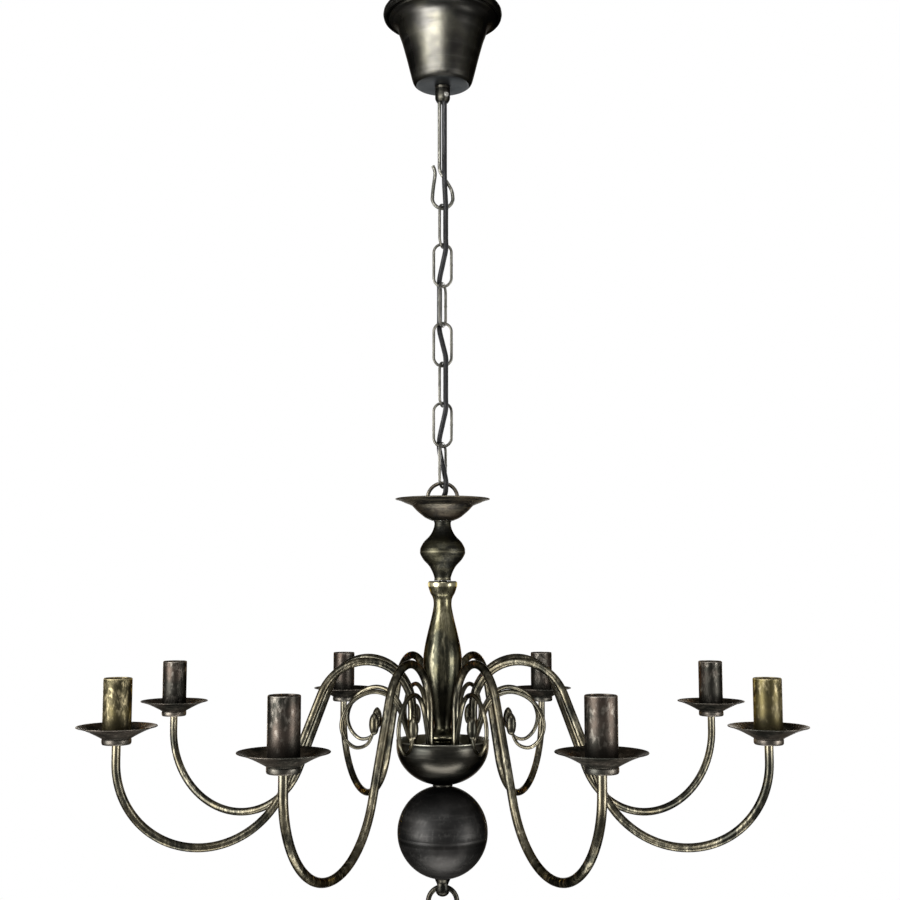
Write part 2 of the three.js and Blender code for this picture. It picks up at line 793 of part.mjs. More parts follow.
// Lower ball: a spun shell, open where the tube passes
function lowerBall() {
  const inner = BALL_RADIUS - BALL_WALL;
  const innerReach = Math.sqrt(inner ** 2 - columnBore ** 2);
  const outside = sphereArc(BALL_RADIUS, ballCentre, -ballSeatDepth, ballSeatDepth, 9);
  const inside = sphereArc(inner, ballCentre, innerReach, -innerReach, 7);
  return turnedRing([[columnBore, ballFoot], ...outside, [columnBore, ballTop], ...inside], 20);
}

place('lower_ball', lowerBall(), antiqueBlack());

// Finial: the nut of the whole column, with a flared eye for the ring
function finialEye() {
  const z = (drop) => finialTop - drop;
  const r = FINIAL_RADIUS;
  const body = turned([
    [0, z(FINIAL_LENGTH)],
    [r * 0.5, z(FINIAL_LENGTH * 0.966)],
    [r * 0.78, z(FINIAL_LENGTH * 0.852)],
    [r * 0.97, z(FINIAL_LENGTH * 0.716)],
    [r, z(FINIAL_EYE_DROP)],
    [r * 0.93, z(FINIAL_EYE_DROP * 0.52)],
    [r * 1.02, z(FINIAL_EYE_DROP * 0.19)],
    [r * 1.14, z(0)],
    [0, z(0)],
  ], 16);
  const thread = cylinder(columnBore, tubeFoot - GAP, finialTop + 1, 12);
  const eye = turned([
    [0, -r - 1],
    [RING_WIRE * 2.44, -r - 1],
    [RING_WIRE * 1.2, -r * 0.22],
    [RING_WIRE * 1.2, r * 0.22],
    [RING_WIRE * 2.44, r + 1],
    [0, r + 1],
  ], 12).rotateY(Math.PI / 2).translate(0, 0, eyeHeight);
  return combine(body, [], [thread, eye]);
}

place('finial_eye', finialEye(), antiqueBlack());

function pullRing() {
  return new THREE.TorusGeometry(RING_RADIUS, RING_WIRE, 8, 16).rotateX(Math.PI / 2);
}

place('pull_ring', pullRing(), antiqueBlack()).position.z = eyeHeight - RING_RADIUS;

// Arm: leg, crest bend, straight run, sweep bend and riser, all in one plane. The sweep
// bend takes the radius that brings the riser out at the arm's full reach.
const runSlope = ARM_RUN_SLOPE * DEGREE;
const crestCentre = new THREE.Vector2(ARM_LEG_RADIUS + ARM_CREST_BEND, flangeFoot + ARM_LEG_LENGTH);
const runStart = new THREE.Vector2(Math.sin(runSlope), Math.cos(runSlope))
  .multiplyScalar(ARM_CREST_BEND)
  .add(crestCentre);
const runEnd = new THREE.Vector2(Math.cos(runSlope), -Math.sin(runSlope))
  .multiplyScalar(ARM_RUN_LENGTH)
  .add(runStart);
const sweepBend = (ARM_REACH - runEnd.x) / (1 + Math.sin(runSlope));
const sweepCentre = new THREE.Vector2(ARM_REACH - sweepBend, runEnd.y + sweepBend * Math.cos(runSlope));
const armTop = sweepCentre.y + ARM_RISER_LENGTH;
const cupFoot = armTop + GAP;

function armPath() {
  const turning = Math.PI / 2 - runSlope;
  const path = new THREE.Path();
  path.moveTo(ARM_LEG_RADIUS, flangeFoot);
  path.lineTo(ARM_LEG_RADIUS, crestCentre.y);
  path.absarc(crestCentre.x, crestCentre.y, ARM_CREST_BEND, Math.PI, turning, true);
  path.absarc(sweepCentre.x, sweepCentre.y, sweepBend, turning + Math.PI, 0, false);
  path.lineTo(ARM_REACH, armTop);
  return path;
}

// Scroll: leaves the arm's leg, rises over and curls back in to a bud. Its points are
// shares of its reach, from the leg outwards and from the middle of the crest bend upwards.
function scrollPoint([across, up]) {
  const x = ARM_LEG_RADIUS + across * SCROLL_REACH;
  return new THREE.Vector3(x, 0, crestCentre.y + up * SCROLL_REACH);
}

function scrollCurve() {
  const shares = [
    [0.02, -0.422],
    [0.095, -0.204],
    [0.197, 0.041],
    [0.34, 0.204],
    [0.544, 0.264],
    [0.762, 0.204],
    [0.925, 0.054],
    [1, -0.15],
    [0.946, -0.34],
    [0.803, -0.457],
    [0.646, -0.429],
    [0.565, -0.299],
    [0.544, -0.15],
  ];
  return new THREE.CatmullRomCurve3(shares.map(scrollPoint));
}

function scrollBud() {
  const place = scrollPoint([0.541, -0.163]);
  return new THREE.SphereGeometry(1, 6, 4)
    .rotateX(Math.PI / 2)
    .scale(SCROLL_BUD_RADIUS, SCROLL_BUD_RADIUS, SCROLL_BUD_LENGTH / 2)
    .translate(place.x, 0, place.z);
}

function arm() {
  const tube = rod(new UprightCurve(armPath()), ARM_TUBE, 6, 26);
  const flange = cylinder(ARM_FLANGE_RADIUS, flangeFoot, flangeTop, 8).translate(ARM_LEG_RADIUS, 0, 0);
  const spigot = cylinder(SPIGOT_RADIUS, armTop - 2, cupFoot + SPIGOT_LENGTH, 8)
    .translate(ARM_REACH, 0, 0);
  const scroll = rod(scrollCurve(), SCROLL_ROD, 5, 17);
  return combine(tube, [flange, spigot, scroll, scrollBud()]);
}

// Drip cup: a flat dish on a short foot, with a ledge for the candle sleeve
const cupLedge = cupFoot + CUP_LEDGE_HEIGHT;
const cupFloor = cupFoot + CUP_WALL;

function dripCup() {
  const rim = cupFoot + CUP_DEPTH;
  const hole = SPIGOT_RADIUS + GAP;
  const dishFoot = CUP_FOOT_RADIUS * 1.25;
  const dishMiddle = CUP_RADIUS * 0.65;
  const dishRise = (share) => cupLedge + share * (rim - cupLedge);
  return turnedRing([
    [hole, cupFoot],
    [CUP_FOOT_RADIUS * 0.955, cupFoot],
    [CUP_FOOT_RADIUS, cupFoot + CUP_LEDGE_HEIGHT * 0.7],
    [dishFoot, dishRise(0.044)],
    [dishMiddle, dishRise(0.46)],
    [CUP_RADIUS, rim],
    [dishMiddle, dishRise(0.46) + CUP_DISH_WALL],
    [CUP_FOOT_RADIUS * 1.045, cupLedge],
    [CUP_FOOT_RADIUS - CUP_WALL, cupLedge],
    [CUP_FOOT_RADIUS - CUP_WALL, cupFloor],
    [hole, cupFloor],
  ], 16);
}

// Lamp holder: screwed on the arm's spigot, with the screw-cap bore open above
const sleeveFoot = cupLedge + GAP;
const sleeveTop = sleeveFoot + SLEEVE_LENGTH;

function lampHolder() {
  const foot = cupFloor + GAP;
  const top = sleeveTop - HOLDER_BELOW_SLEEVE;
  const spigotTop = cupFoot + SPIGOT_LENGTH + GAP;
  return turned([
    [0, spigotTop],
    [SPIGOT_RADIUS + GAP, spigotTop],
    [SPIGOT_RADIUS + GAP, foot],
    [HOLDER_STEM_RADIUS, foot],
    [HOLDER_STEM_RADIUS, foot + HOLDER_STEM_LENGTH],
    [HOLDER_RADIUS, foot + HOLDER_STEM_LENGTH + 3],
    [HOLDER_RADIUS, top],
    [LAMP_BORE_RADIUS, top],
    [LAMP_BORE_RADIUS, top - LAMP_BORE_DEPTH],
    [0, top - LAMP_BORE_DEPTH],
  ], 10);
}

function candleSleeve() {
  return turnedRing([
    [SLEEVE_RADIUS - SLEEVE_WALL, sleeveFoot],
    [SLEEVE_RADIUS, sleeveFoot],
    [SLEEVE_RADIUS, sleeveTop],
    [SLEEVE_RADIUS - SLEEVE_WALL, sleeveTop],
  ], 16);
}

for (let i = 0; i < ARM_COUNT; i++) {
  const turn = armTurn(i);
  place(`arm_${i + 1}`, arm(), antiqueBlack()).rotation.z = turn;
  const stand = new THREE.Group();
  stand.position.set(ARM_REACH * Math.cos(turn), ARM_REACH * Math.sin(turn), 0);
  lamp.add(stand);
  place(`drip_cup_${i + 1}`, dripCup(), antiqueBlack(), stand);
  place(`lamp_holder_${i + 1}`, lampHolder(), blackPlastic(), stand);
  place(`candle_sleeve_${i + 1}`, candleSleeve(), antiqueGold(), stand);
}

export default lamp;
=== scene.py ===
from math import acos, asin, cos, pi, radians, sin, sqrt

import bpy
from mathutils import Matrix, Vector


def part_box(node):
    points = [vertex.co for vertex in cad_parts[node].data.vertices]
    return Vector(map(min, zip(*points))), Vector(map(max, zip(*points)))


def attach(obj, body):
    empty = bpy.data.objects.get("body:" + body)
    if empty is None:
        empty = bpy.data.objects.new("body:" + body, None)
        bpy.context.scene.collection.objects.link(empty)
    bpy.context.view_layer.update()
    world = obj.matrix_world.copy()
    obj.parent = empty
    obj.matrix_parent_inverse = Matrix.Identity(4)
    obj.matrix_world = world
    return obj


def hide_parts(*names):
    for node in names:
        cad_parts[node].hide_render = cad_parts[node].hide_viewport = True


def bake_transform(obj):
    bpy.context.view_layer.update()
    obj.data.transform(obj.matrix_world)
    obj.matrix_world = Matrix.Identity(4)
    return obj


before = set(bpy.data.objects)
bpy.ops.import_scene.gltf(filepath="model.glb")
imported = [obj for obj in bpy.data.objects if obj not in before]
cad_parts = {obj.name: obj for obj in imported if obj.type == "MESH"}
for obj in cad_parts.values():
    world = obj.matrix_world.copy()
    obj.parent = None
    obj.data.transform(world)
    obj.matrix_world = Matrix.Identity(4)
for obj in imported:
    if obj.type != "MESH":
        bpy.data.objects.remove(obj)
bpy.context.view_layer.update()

# The camera stands in front of the lamp, level with its column, and looks up a little. Its place
# was found from the column's rings and the cups. The lamp's axis lies a little left of the middle.
IMAGE_PIXELS = 900
FOCAL_PIXELS = 1253.7
AXIS_PIXEL = 442.6
SENSOR_WIDTH_MM = 36.0
CAMERA_PLACE = (0.0, -1.280, -0.6061)
CAMERA_TILT_DEGREES = 6.0

bpy.ops.object.select_all(action="DESELECT")
bpy.ops.object.camera_add(location=CAMERA_PLACE, rotation=(radians(90 + CAMERA_TILT_DEGREES), 0, 0))
camera = bpy.context.object
camera.name = "photo_camera"
camera.data.sensor_width = SENSOR_WIDTH_MM
camera.data.lens = FOCAL_PIXELS / IMAGE_PIXELS * SENSOR_WIDTH_MM
camera.data.shift_x = (IMAGE_PIXELS / 2 - AXIS_PIXEL) / IMAGE_PIXELS
bpy.context.scene.camera = camera

# A plain room: pale floor one storey below the ceiling, white all round, and soft boxes to the
# left and the right. More panels show only in the metal, on all sides, above and below, and
# there is a curved one in five facets, with a grid that keeps its light on the canopy.
FLOOR_DROP = 2.35
FLOOR_SIZE = 5.0
FLOOR_HAZE = 0.6
WORLD_LEVEL = 0.42
GRID_SPREAD_DEGREES = 22
FACETS = 5
FIRST_FACET_DEGREES = -46
FACET_STEP_DEGREES = 9

bpy.context.scene.view_settings.view_transform = "Standard"


def shader_of(paint):
    """The shader of a material's surface."""
    return paint.node_tree.nodes["Principled BSDF"]


def new_paint(name, metal=0.0):
    """A new material, with its node tree and its shader."""
    paint = bpy.data.materials.new(name)
    paint.use_nodes = True
    shader_of(paint).inputs["Metallic"].default_value = metal
    return paint, paint.node_tree, shader_of(paint)


def maths(tree, operation, first, second, third=None):
    """One Math node. The first value is a node's output, the others may be plain numbers."""
    made = tree.nodes.new("ShaderNodeMath")
    made.operation = operation
    tree.links.new(first, made.inputs[0])
    for socket, value in ((made.inputs[1], second), (made.inputs[2], third)):
        if isinstance(value, (int, float)):
            socket.default_value = value
        elif value is not None:
            tree.links.new(value, socket)
    return made.outputs[0]


bpy.ops.object.select_all(action="DESELECT")
bpy.ops.mesh.primitive_plane_add(size=FLOOR_SIZE, location=(0, 0, -FLOOR_DROP))
floor = bpy.context.object
floor.name = "floor"
bpy.ops.object.transform_apply()
floor_paint, tree, ground = new_paint("pale_floor")
ground.inputs["Base Color"].default_value = (0.86, 0.86, 0.85, 1)
ground.inputs["Roughness"].default_value = 0.7
haze = tree.nodes.new("ShaderNodeEmission")
haze.inputs["Color"].default_value = (0.95, 0.95, 0.94, 1)
eye = tree.nodes.new("ShaderNodeLightPath")
pale = tree.nodes.new("ShaderNodeMixShader")
tree.links.new(maths(tree, "MULTIPLY", eye.outputs["Is Camera Ray"], FLOOR_HAZE), pale.inputs[0])
tree.links.new(ground.outputs["BSDF"], pale.inputs[1])
tree.links.new(haze.outputs["Emission"], pale.inputs[2])
tree.links.new(pale.outputs["Shader"], tree.nodes["Material Output"].inputs["Surface"])
floor.data.materials.append(floor_paint)

world = bpy.data.worlds.new("white_room")
bpy.context.scene.world = world
world.use_nodes = True
tree = world.node_tree
background = tree.nodes["Background"]
background.inputs["Color"].default_value = (1, 1, 1, 1)
kinds = tree.nodes.new("ShaderNodeLightPath").outputs
seen = maths(tree, "MAXIMUM", kinds["Is Camera Ray"], kinds["Is Glossy Ray"])
seen = maths(tree, "MAXIMUM", seen, kinds["Is Transmission Ray"])
level = maths(tree, "MULTIPLY_ADD", seen, 1 - WORLD_LEVEL, WORLD_LEVEL)
tree.links.new(level, background.inputs["Strength"])


def soft_box(name, azimuth, distance, height, width, tall, watts, aim=None):
    """A tall area lamp at an azimuth from the front, turned towards the lamp's axis."""
    turn = radians(azimuth)
    place = Vector((distance * sin(turn), -distance * cos(turn), height))
    bpy.ops.object.light_add(type="AREA", location=place)
    lamp = bpy.context.object
    lamp.name = name
    lamp.data.shape = "RECTANGLE"
    lamp.data.size = width
    lamp.data.size_y = tall
    lamp.data.energy = watts
    target = Vector((0, 0, height if aim is None else aim))
    lamp.rotation_euler = (target - place).to_track_quat("-Z", "Y").to_euler()
    lamp.visible_camera = False
    return lamp


def gloss_panel(*settings, **more):
    """A soft box that only shines in polished surfaces, so the plain level stays as it is."""
    panel = soft_box(*settings, **more)
    panel.visible_diffuse = False
    return panel


soft_box("soft_box_left", -52, 1.7, -0.60, 0.9, 1.5, 36)
soft_box("soft_box_right", 58, 1.7, -0.85, 0.5, 0.9, 16)
soft_box("soft_box_back_left", -140, 2.0, -0.6, 0.4, 1.2, 12)
soft_box("soft_box_back_right", 140, 2.0, -0.6, 0.4, 1.2, 12)
gloss_panel("panel_left", -50, 1.68, -0.62, 1.05, 1.55, 118)
gloss_panel("panel_right", 57, 1.68, -0.88, 0.62, 0.95, 38)
gloss_panel("panel_low", 0, 0.38, -1.90, 1.7, 0.35, 50, aim=-0.8)
gloss_panel("panel_high", 0, 1.25, 0.55, 0.9, 0.5, 26, aim=-0.75)
gloss_panel("panel_behind", 180, 1.6, -0.80, 1.0, 0.5, 3, aim=-0.3)
gloss_panel("panel_back_left", -145, 2.0, -0.5, 0.8, 1.4, 34)
gloss_panel("panel_back_right", 150, 2.0, -0.5, 0.6, 1.4, 22)
for number in range(FACETS):
    azimuth = FIRST_FACET_DEGREES + FACET_STEP_DEGREES * number
    facet = gloss_panel(f"panel_canopy_{number + 1}", azimuth, 1.05, -0.10, 0.17, 0.26, 1.0, aim=0.06)
    facet.data.spread = radians(GRID_SPREAD_DEGREES)

# The ceiling bracket is a strap with a stirrup, screwed to the ceiling inside the canopy, and
# the hook's nut sits on it. Both are steel under grey spangled zinc and keep the CAD shape.
MM = 0.001


def node(tree, kind, **values):
    """Adds a shader node and sets its unlinked sockets by name."""
    made = tree.nodes.new(kind)
    for name, value in values.items():
        made.inputs[name.replace("_", " ")].default_value = value
    return made


def object_noise(tree, scale, stretch=(1, 1, 1), detail=4.0, roughness=0.55):
    """Noise laid in the lamp's own space, drawn out along an axis where stretch is small."""
    place = tree.nodes.new("ShaderNodeTexCoord")
    mapping = node(tree, "ShaderNodeMapping", Scale=stretch)
    tree.links.new(place.outputs["Object"], mapping.inputs["Vector"])
    noise = node(tree, "ShaderNodeTexNoise", Scale=scale, Detail=detail, Roughness=roughness)
    tree.links.new(mapping.outputs["Vector"], noise.inputs["Vector"])
    return noise.outputs["Fac"]


def ramp(tree, value, low, high):
    """Turns a value to 0 below low and 1 above high, with a soft step between."""
    step = node(tree, "ShaderNodeMapRange", From_Min=low, From_Max=high)
    step.interpolation_type = "SMOOTHSTEP"
    tree.links.new(value, step.inputs["Value"])
    return step.outputs["Result"]


def mixed(tree, share, first, second):
    """Mixes two colours by a share. A colour is a tuple or another node's output."""
    made = tree.nodes.new("ShaderNodeMix")
    made.data_type = "RGBA"
    tree.links.new(share, made.inputs["Factor"])
    for socket, colour in ((made.inputs["A"], first), (made.inputs["B"], second)):
        if isinstance(colour, tuple):
            socket.default_value = (*colour, 1)
        else:
            tree.links.new(colour, socket)
    return made.outputs["Result"]


def bump(tree, height, strength, distance, under=None):
    """Raises the surface by a height, on top of another bump if one is given."""
    made = node(tree, "ShaderNodeBump", Strength=strength, Distance=distance)
    tree.links.new(height, made.inputs["Height"])
    if under is not None:
        tree.links.new(under, made.inputs["Normal"])
    return made.outputs["Normal"]


def covered(tree, shader, colour, gloss, relief):
    """Lays a colour, a roughness and a relief on the surface. A plain number is set as it is."""
    for socket, value in (("Base Color", colour), ("Roughness", gloss), ("Normal", relief)):
        if isinstance(value, float):
            shader.inputs[socket].default_value = value
        else:
            tree.links.new(value, shader.inputs[socket])


def mottled(name, patches, first, second, gloss, grain, metal=0.0, stretch=(1, 1, 1)):
    """A plain finish: two colours in soft patches under a fine grain. Patches are a scale, a detail
    and two limits, grain is a scale, a strength and a depth, and gloss is the roughness, or else a
    scale, a change and the least roughness."""
    paint, tree, shader = new_paint(name, metal)
    scale, detail, low, high = patches
    share = ramp(tree, object_noise(tree, scale, detail=detail), low, high)
    if not isinstance(gloss, float):
        scale, change, least = gloss
        gloss = maths(tree, "MULTIPLY_ADD", object_noise(tree, scale), change, least)
    scale, strength, depth = grain
    relief = bump(tree, object_noise(tree, scale, stretch=stretch), strength, depth)
    covered(tree, shader, mixed(tree, share, first, second), gloss, relief)
    return paint


zinc = mottled("zinc_plating", (180, 3, 0.35, 0.68), (0.42, 0.42, 0.41), (0.62, 0.62, 0.60),
               gloss=(60, 0.3, 0.2), grain=(700, 0.25, 0.0002), metal=1.0)


def finish_node(name, paint):
    """Gives a CAD node that keeps its shape a better material."""
    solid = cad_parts[name]
    solid.data.materials.clear()
    solid.data.materials.append(paint)


finish_node("ceiling_bracket", zinc)
finish_node("hook_nut", zinc)

# The terminal block is white moulded plastic with three wire wells, screwed under the strap
# beside the stirrup. It is hidden in the canopy, keeps the CAD shape and has yellowed a little.
white_plastic = mottled("white_plastic", (90, 4, 0.4, 0.7), (0.74, 0.72, 0.66), (0.66, 0.62, 0.52),
                        gloss=0.45, grain=(1500, 0.2, 0.0001))
finish_node("terminal_block", white_plastic)

# The hook is one bronzed steel wire: a straight shank up to the nut, a pear-shaped eye, and an
# open tip beside the shank. It was bent cold, so it keeps fine draw marks along the wire.
HOOK_WIRE = 1.9
SHANK_X = -3.3
HOOK_EYE = 10.8
HOOK_NECK = 34.0
HOOK_EYE_START = 12.0
HOOK_EYE_STEP = 25.5
HOOK_TIP_SHARES = ((-0.898, 0.335), (-0.787, 0.588), (-0.731, 0.765), (-0.796, 0.912), (-0.944, 1.029))
HOOK_SHOULDER_SHARES = ((-0.222, 0.838), (0.12, 0.647), (0.519, 0.459), (0.861, 0.253))


def eased(*points, steps=5):
    """Points on a smooth line through the given ones, flat or in space."""
    ends = [points[0], *points, points[-1]]
    line = []
    for before, start, end, after in zip(ends, ends[1:], ends[2:], ends[3:]):
        for step in range(steps):
            t = step / steps
            line.append(tuple(0.5 * (2 * b + (c - a) * t + (2 * a - 5 * b + 4 * c - d) * t * t
                                     + (3 * b - a - 3 * c + d) * t ** 3)
                              for a, b, c, d in zip(before, start, end, after)))
    return [*line, tuple(points[-1])]


def chosen(piece):
    """Makes a piece the active one and selects nothing else."""
    bpy.ops.object.select_all(action="DESELECT")
    piece.select_set(True)
    bpy.context.view_layer.objects.active = piece


def in_mode(name):
    """Switches to OBJECT or EDIT mode."""
    bpy.ops.object.mode_set(mode=name)


def in_edit(piece):
    """Opens one piece in edit mode, all of it selected."""
    chosen(piece)
    in_mode("EDIT")
    bpy.ops.mesh.select_all(action="SELECT")


def closed_up(piece):
    """Merges doubled corners, turns the faces outwards and puts the piece's place in its mesh."""
    in_edit(piece)
    bpy.ops.mesh.remove_doubles(threshold=0.00001)
    bpy.ops.mesh.normals_make_consistent(inside=False)
    in_mode("OBJECT")
    bpy.ops.object.transform_apply()
    return piece


def wire(name, points, radius, resolution=5, shares=None):
    """A round wire along points in millimetres. Shares thin it from point to point."""
    line = bpy.data.curves.new(name, "CURVE")
    line.dimensions = "3D"
    line.bevel_depth = radius * MM
    line.bevel_resolution = resolution
    line.use_fill_caps = True
    spline = line.splines.new("POLY")
    spline.points.add(len(points) - 1)
    for place, point in zip(spline.points, points):
        place.co = (point[0] * MM, point[1] * MM, point[2] * MM, 1)
    for place, share in zip(spline.points, shares or []):
        place.radius = share
    piece = bpy.data.objects.new(name, line)
    bpy.context.scene.collection.objects.link(piece)
    chosen(piece)
    bpy.ops.object.convert(target="MESH")
    return closed_up(bpy.context.object)


def smoothed(piece, width=0.0, sharpest=35):
    """Rounds the piece's sharp edges by a width in millimetres and shades it smooth."""
    chosen(piece)
    if width > 0:
        edges = piece.modifiers.new("rounded_edges", "BEVEL")
        edges.width = width * MM
        edges.segments = 2
        edges.limit_method = "ANGLE"
        edges.angle_limit = radians(sharpest)
        bpy.ops.object.modifier_apply(modifier=edges.name)
    bpy.ops.object.shade_smooth_by_angle(angle=radians(sharpest))
    return piece


def fitted(piece, paint, cad_node, body="lamp_frame"):
    """Gives a finished piece its material, the CAD node it stands for and its body."""
    piece.data.materials.append(paint)
    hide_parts(cad_node)
    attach(piece, body)


def drawn_wire(name, dark, light, rough):
    """Steel wire, bronzed or bare: light draw marks along it, dark specks where it is dull."""
    paint, tree, shader = new_paint(name, metal=1.0)
    marks = object_noise(tree, 900, stretch=(1, 1, 0.06), detail=3)
    rubbed = ramp(tree, object_noise(tree, 70), 0.35, 0.62)
    worn = maths(tree, "MULTIPLY", rubbed, ramp(tree, marks, 0.3, 0.75))
    gloss = maths(tree, "MULTIPLY_ADD", marks, 0.2, rough)
    covered(tree, shader, mixed(tree, worn, dark, light), gloss, bump(tree, marks, 0.2, 0.0001))
    return paint


def heights(name):
    """A CAD node's lowest and highest point, in millimetres."""
    return [corner.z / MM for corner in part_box(name)]


hook_low, hook_top = heights("hook")
eye_height = hook_low + HOOK_WIRE + HOOK_EYE


def hook_share(share):
    """A point of the hook, from its distance and height in shares of the eye and the neck."""
    return (share[0] * HOOK_EYE, 0, eye_height + share[1] * HOOK_NECK)


eye_arc = [radians(HOOK_EYE_START - HOOK_EYE_STEP * step) for step in range(9)]
hook_line = eased(
    (SHANK_X, 0, hook_top),
    (SHANK_X, 0, eye_height + HOOK_NECK + 60),
    (SHANK_X, 0, eye_height + HOOK_NECK + 8),
    (SHANK_X, 0, eye_height + HOOK_NECK),
    *map(hook_share, HOOK_SHOULDER_SHARES),
    *[(HOOK_EYE * cos(turn), 0, eye_height + HOOK_EYE * sin(turn)) for turn in eye_arc],
    *map(hook_share, HOOK_TIP_SHARES),
)
hook_steel = drawn_wire("hook_steel", (0.026, 0.026, 0.022), (0.068, 0.065, 0.056), 0.34)
hook = smoothed(wire("hook_wire", hook_line, HOOK_WIRE))
fitted(hook, hook_steel, "hook", "ceiling_fixing")

# The canopy is a bell spun from thin steel, with a flat bottom and a wide lip ending in a
# rolled bead against the ceiling. Its black-brown patina is brushed round in fine rings.
CANOPY_HOLE = 6.8
CANOPY_FOOT = -84.7
CANOPY_OUTSIDE = ((25.4, CANOPY_FOOT), (28.4, -83.5), (31.2, -80.2), (33.9, -70.7), (38.3, -53.1),
                  (43.2, -35.4), (46.3, -26.6), (48.6, -18.8), (52.3, -13.9), (56.6, -11.4))
CANOPY_BEAD = 2.4
CANOPY_BEAD_PLACE = (60.2, -8.5)
CANOPY_LIP = ((63.1, -6.6), (62.6, -3.4), (61.0, -1.1), (59.8, -0.3), (58.6, -0.3), (59.0, -0.9),
              (60.4, -2.3), (61.5, -4.2), (61.8, -6.6), (61.0, -7.3))
CANOPY_WALL = 1.1
CANOPY_FLOOR = 0.8 * CANOPY_WALL
DISC_RISE = 1.7
DISC_SLOPE = 0.85
TIP = 0.002
# Near black that painted shade pulls the patina towards.
PAINTED_SHADE_BLACK = (0.0018, 0.0018, 0.0015)


def turned(name, outline, steps=72):
    """Turns a closed outline of (radius, height) points, in millimetres, about the lamp's axis."""
    radius, height = outline[0]
    bpy.ops.object.select_all(action="DESELECT")
    bpy.ops.mesh.primitive_circle_add(vertices=steps, radius=max(radius, TIP) * MM,
                                      location=(0, 0, height * MM))
    piece = bpy.context.object
    piece.name = name
    in_mode("EDIT")
    for next_radius, next_height in [*outline[1:], outline[0]]:
        rise = (0, 0, (next_height - height) * MM)
        grow = max(next_radius, TIP) / max(radius, TIP)
        bpy.ops.mesh.extrude_region_move(TRANSFORM_OT_translate={"value": rise})
        bpy.ops.transform.resize(value=(grow, grow, 1), center_override=(0, 0, next_height * MM))
        radius, height = next_radius, next_height
    in_mode("OBJECT")
    return closed_up(piece)


def height_band(tree, height, half, share):
    """A share that is full at one height of the lamp and fades to nothing half a width away."""
    place = tree.nodes.new("ShaderNodeTexCoord")
    parts = tree.nodes.new("ShaderNodeSeparateXYZ")
    tree.links.new(place.outputs["Object"], parts.inputs[0])
    away = maths(tree, "ABSOLUTE", maths(tree, "SUBTRACT", parts.outputs["Z"], height * MM), 0)
    return maths(tree, "MULTIPLY", ramp(tree, away, half * MM, 0.3 * half * MM), share)


def patina(name, ground, warm, rubbed, brush,
           worn=0.5, flecks=0.0, edges=0.5, rough=0.36, rubbed_and_highlight_bands=(), painted_shade=()):
    """Black-brown patina over brass. Brush marks follow the piece by their stretch, and the brass
    shows through them, in rubbed flecks and on sharp edges. Bands at given heights lighten it,
    partly as rubbed brass and partly as painted highlight, and painted shade darkens it to near
    black at other heights. Both are given as heights, half widths and shares."""
    paint, tree, shader = new_paint(name, metal=1.0)
    shader.inputs["Specular Tint"].default_value = (0.30, 0.28, 0.25, 1)
    clouds = object_noise(tree, 34, detail=5)
    broad = object_noise(tree, 110, stretch=brush, detail=4, roughness=0.6)
    fine = object_noise(tree, 430, stretch=brush, detail=3, roughness=0.6)
    spots = object_noise(tree, 250, stretch=(1, 1, 0.6), detail=3, roughness=0.5)
    toned = mixed(tree, ramp(tree, clouds, 0.40, 0.64), ground, warm)
    streaks = maths(tree, "MULTIPLY", ramp(tree, broad, 0.40, 0.66), ramp(tree, fine, 0.40, 0.72))
    streaks = maths(tree, "MULTIPLY", streaks, worn)
    rubs = maths(tree, "MULTIPLY", ramp(tree, spots, 0.50, 0.64), ramp(tree, broad, 0.36, 0.56))
    rubs = maths(tree, "MULTIPLY", rubs, flecks)
    shape = tree.nodes.new("ShaderNodeNewGeometry")
    worn_edges = maths(tree, "MULTIPLY", ramp(tree, shape.outputs["Pointiness"], 0.515, 0.60), edges)
    bare = maths(tree, "MAXIMUM", maths(tree, "MAXIMUM", streaks, rubs), worn_edges)
    # Lighter bands at given heights: partly rubbed brass, partly painted highlight.
    for band in rubbed_and_highlight_bands:
        patchy = maths(tree, "MULTIPLY_ADD", ramp(tree, broad, 0.34, 0.62), 0.7, 0.3)
        bare = maths(tree, "MAXIMUM", bare, maths(tree, "MULTIPLY", height_band(tree, *band), patchy))
    colour = mixed(tree, bare, toned, rubbed)
    # Painted shade: near black laid over the colour at given heights.
    for place in painted_shade:
        colour = mixed(tree, height_band(tree, *place), colour, PAINTED_SHADE_BLACK)
    gloss = maths(tree, "MULTIPLY_ADD", broad, 0.20, rough - 0.10)
    grain = bump(tree, object_noise(tree, 900, detail=2), 0.10, 0.0001)
    brushed = bump(tree, fine, 0.14, 0.0002, grain)
    covered(tree, shader, colour, gloss, bump(tree, spots, 0.10 + 0.3 * flecks, 0.0003, brushed))
    return paint


bead = [(CANOPY_BEAD_PLACE[0] + CANOPY_BEAD * cos(radians(turn)),
         CANOPY_BEAD_PLACE[1] + CANOPY_BEAD * sin(radians(turn))) for turn in range(190, 361, 17)]
bell_outside = eased(*CANOPY_OUTSIDE)
bell_inside = [(radius - CANOPY_WALL, height + CANOPY_FLOOR) for radius, height in reversed(bell_outside)]
bell_outline = [
    (CANOPY_HOLE, CANOPY_FOOT),
    *bell_outside,
    *bead,
    *CANOPY_LIP,
    *bell_inside,
    (CANOPY_HOLE, CANOPY_FOOT + CANOPY_FLOOR),
]
canopy_paint = patina("canopy_patina", (0.0052, 0.0050, 0.0045), (0.0105, 0.0100, 0.0078),
                      (0.055, 0.053, 0.050), brush=(0.05, 0.05, 1), worn=0.10, flecks=0.03, edges=0.3,
                      rough=0.38)
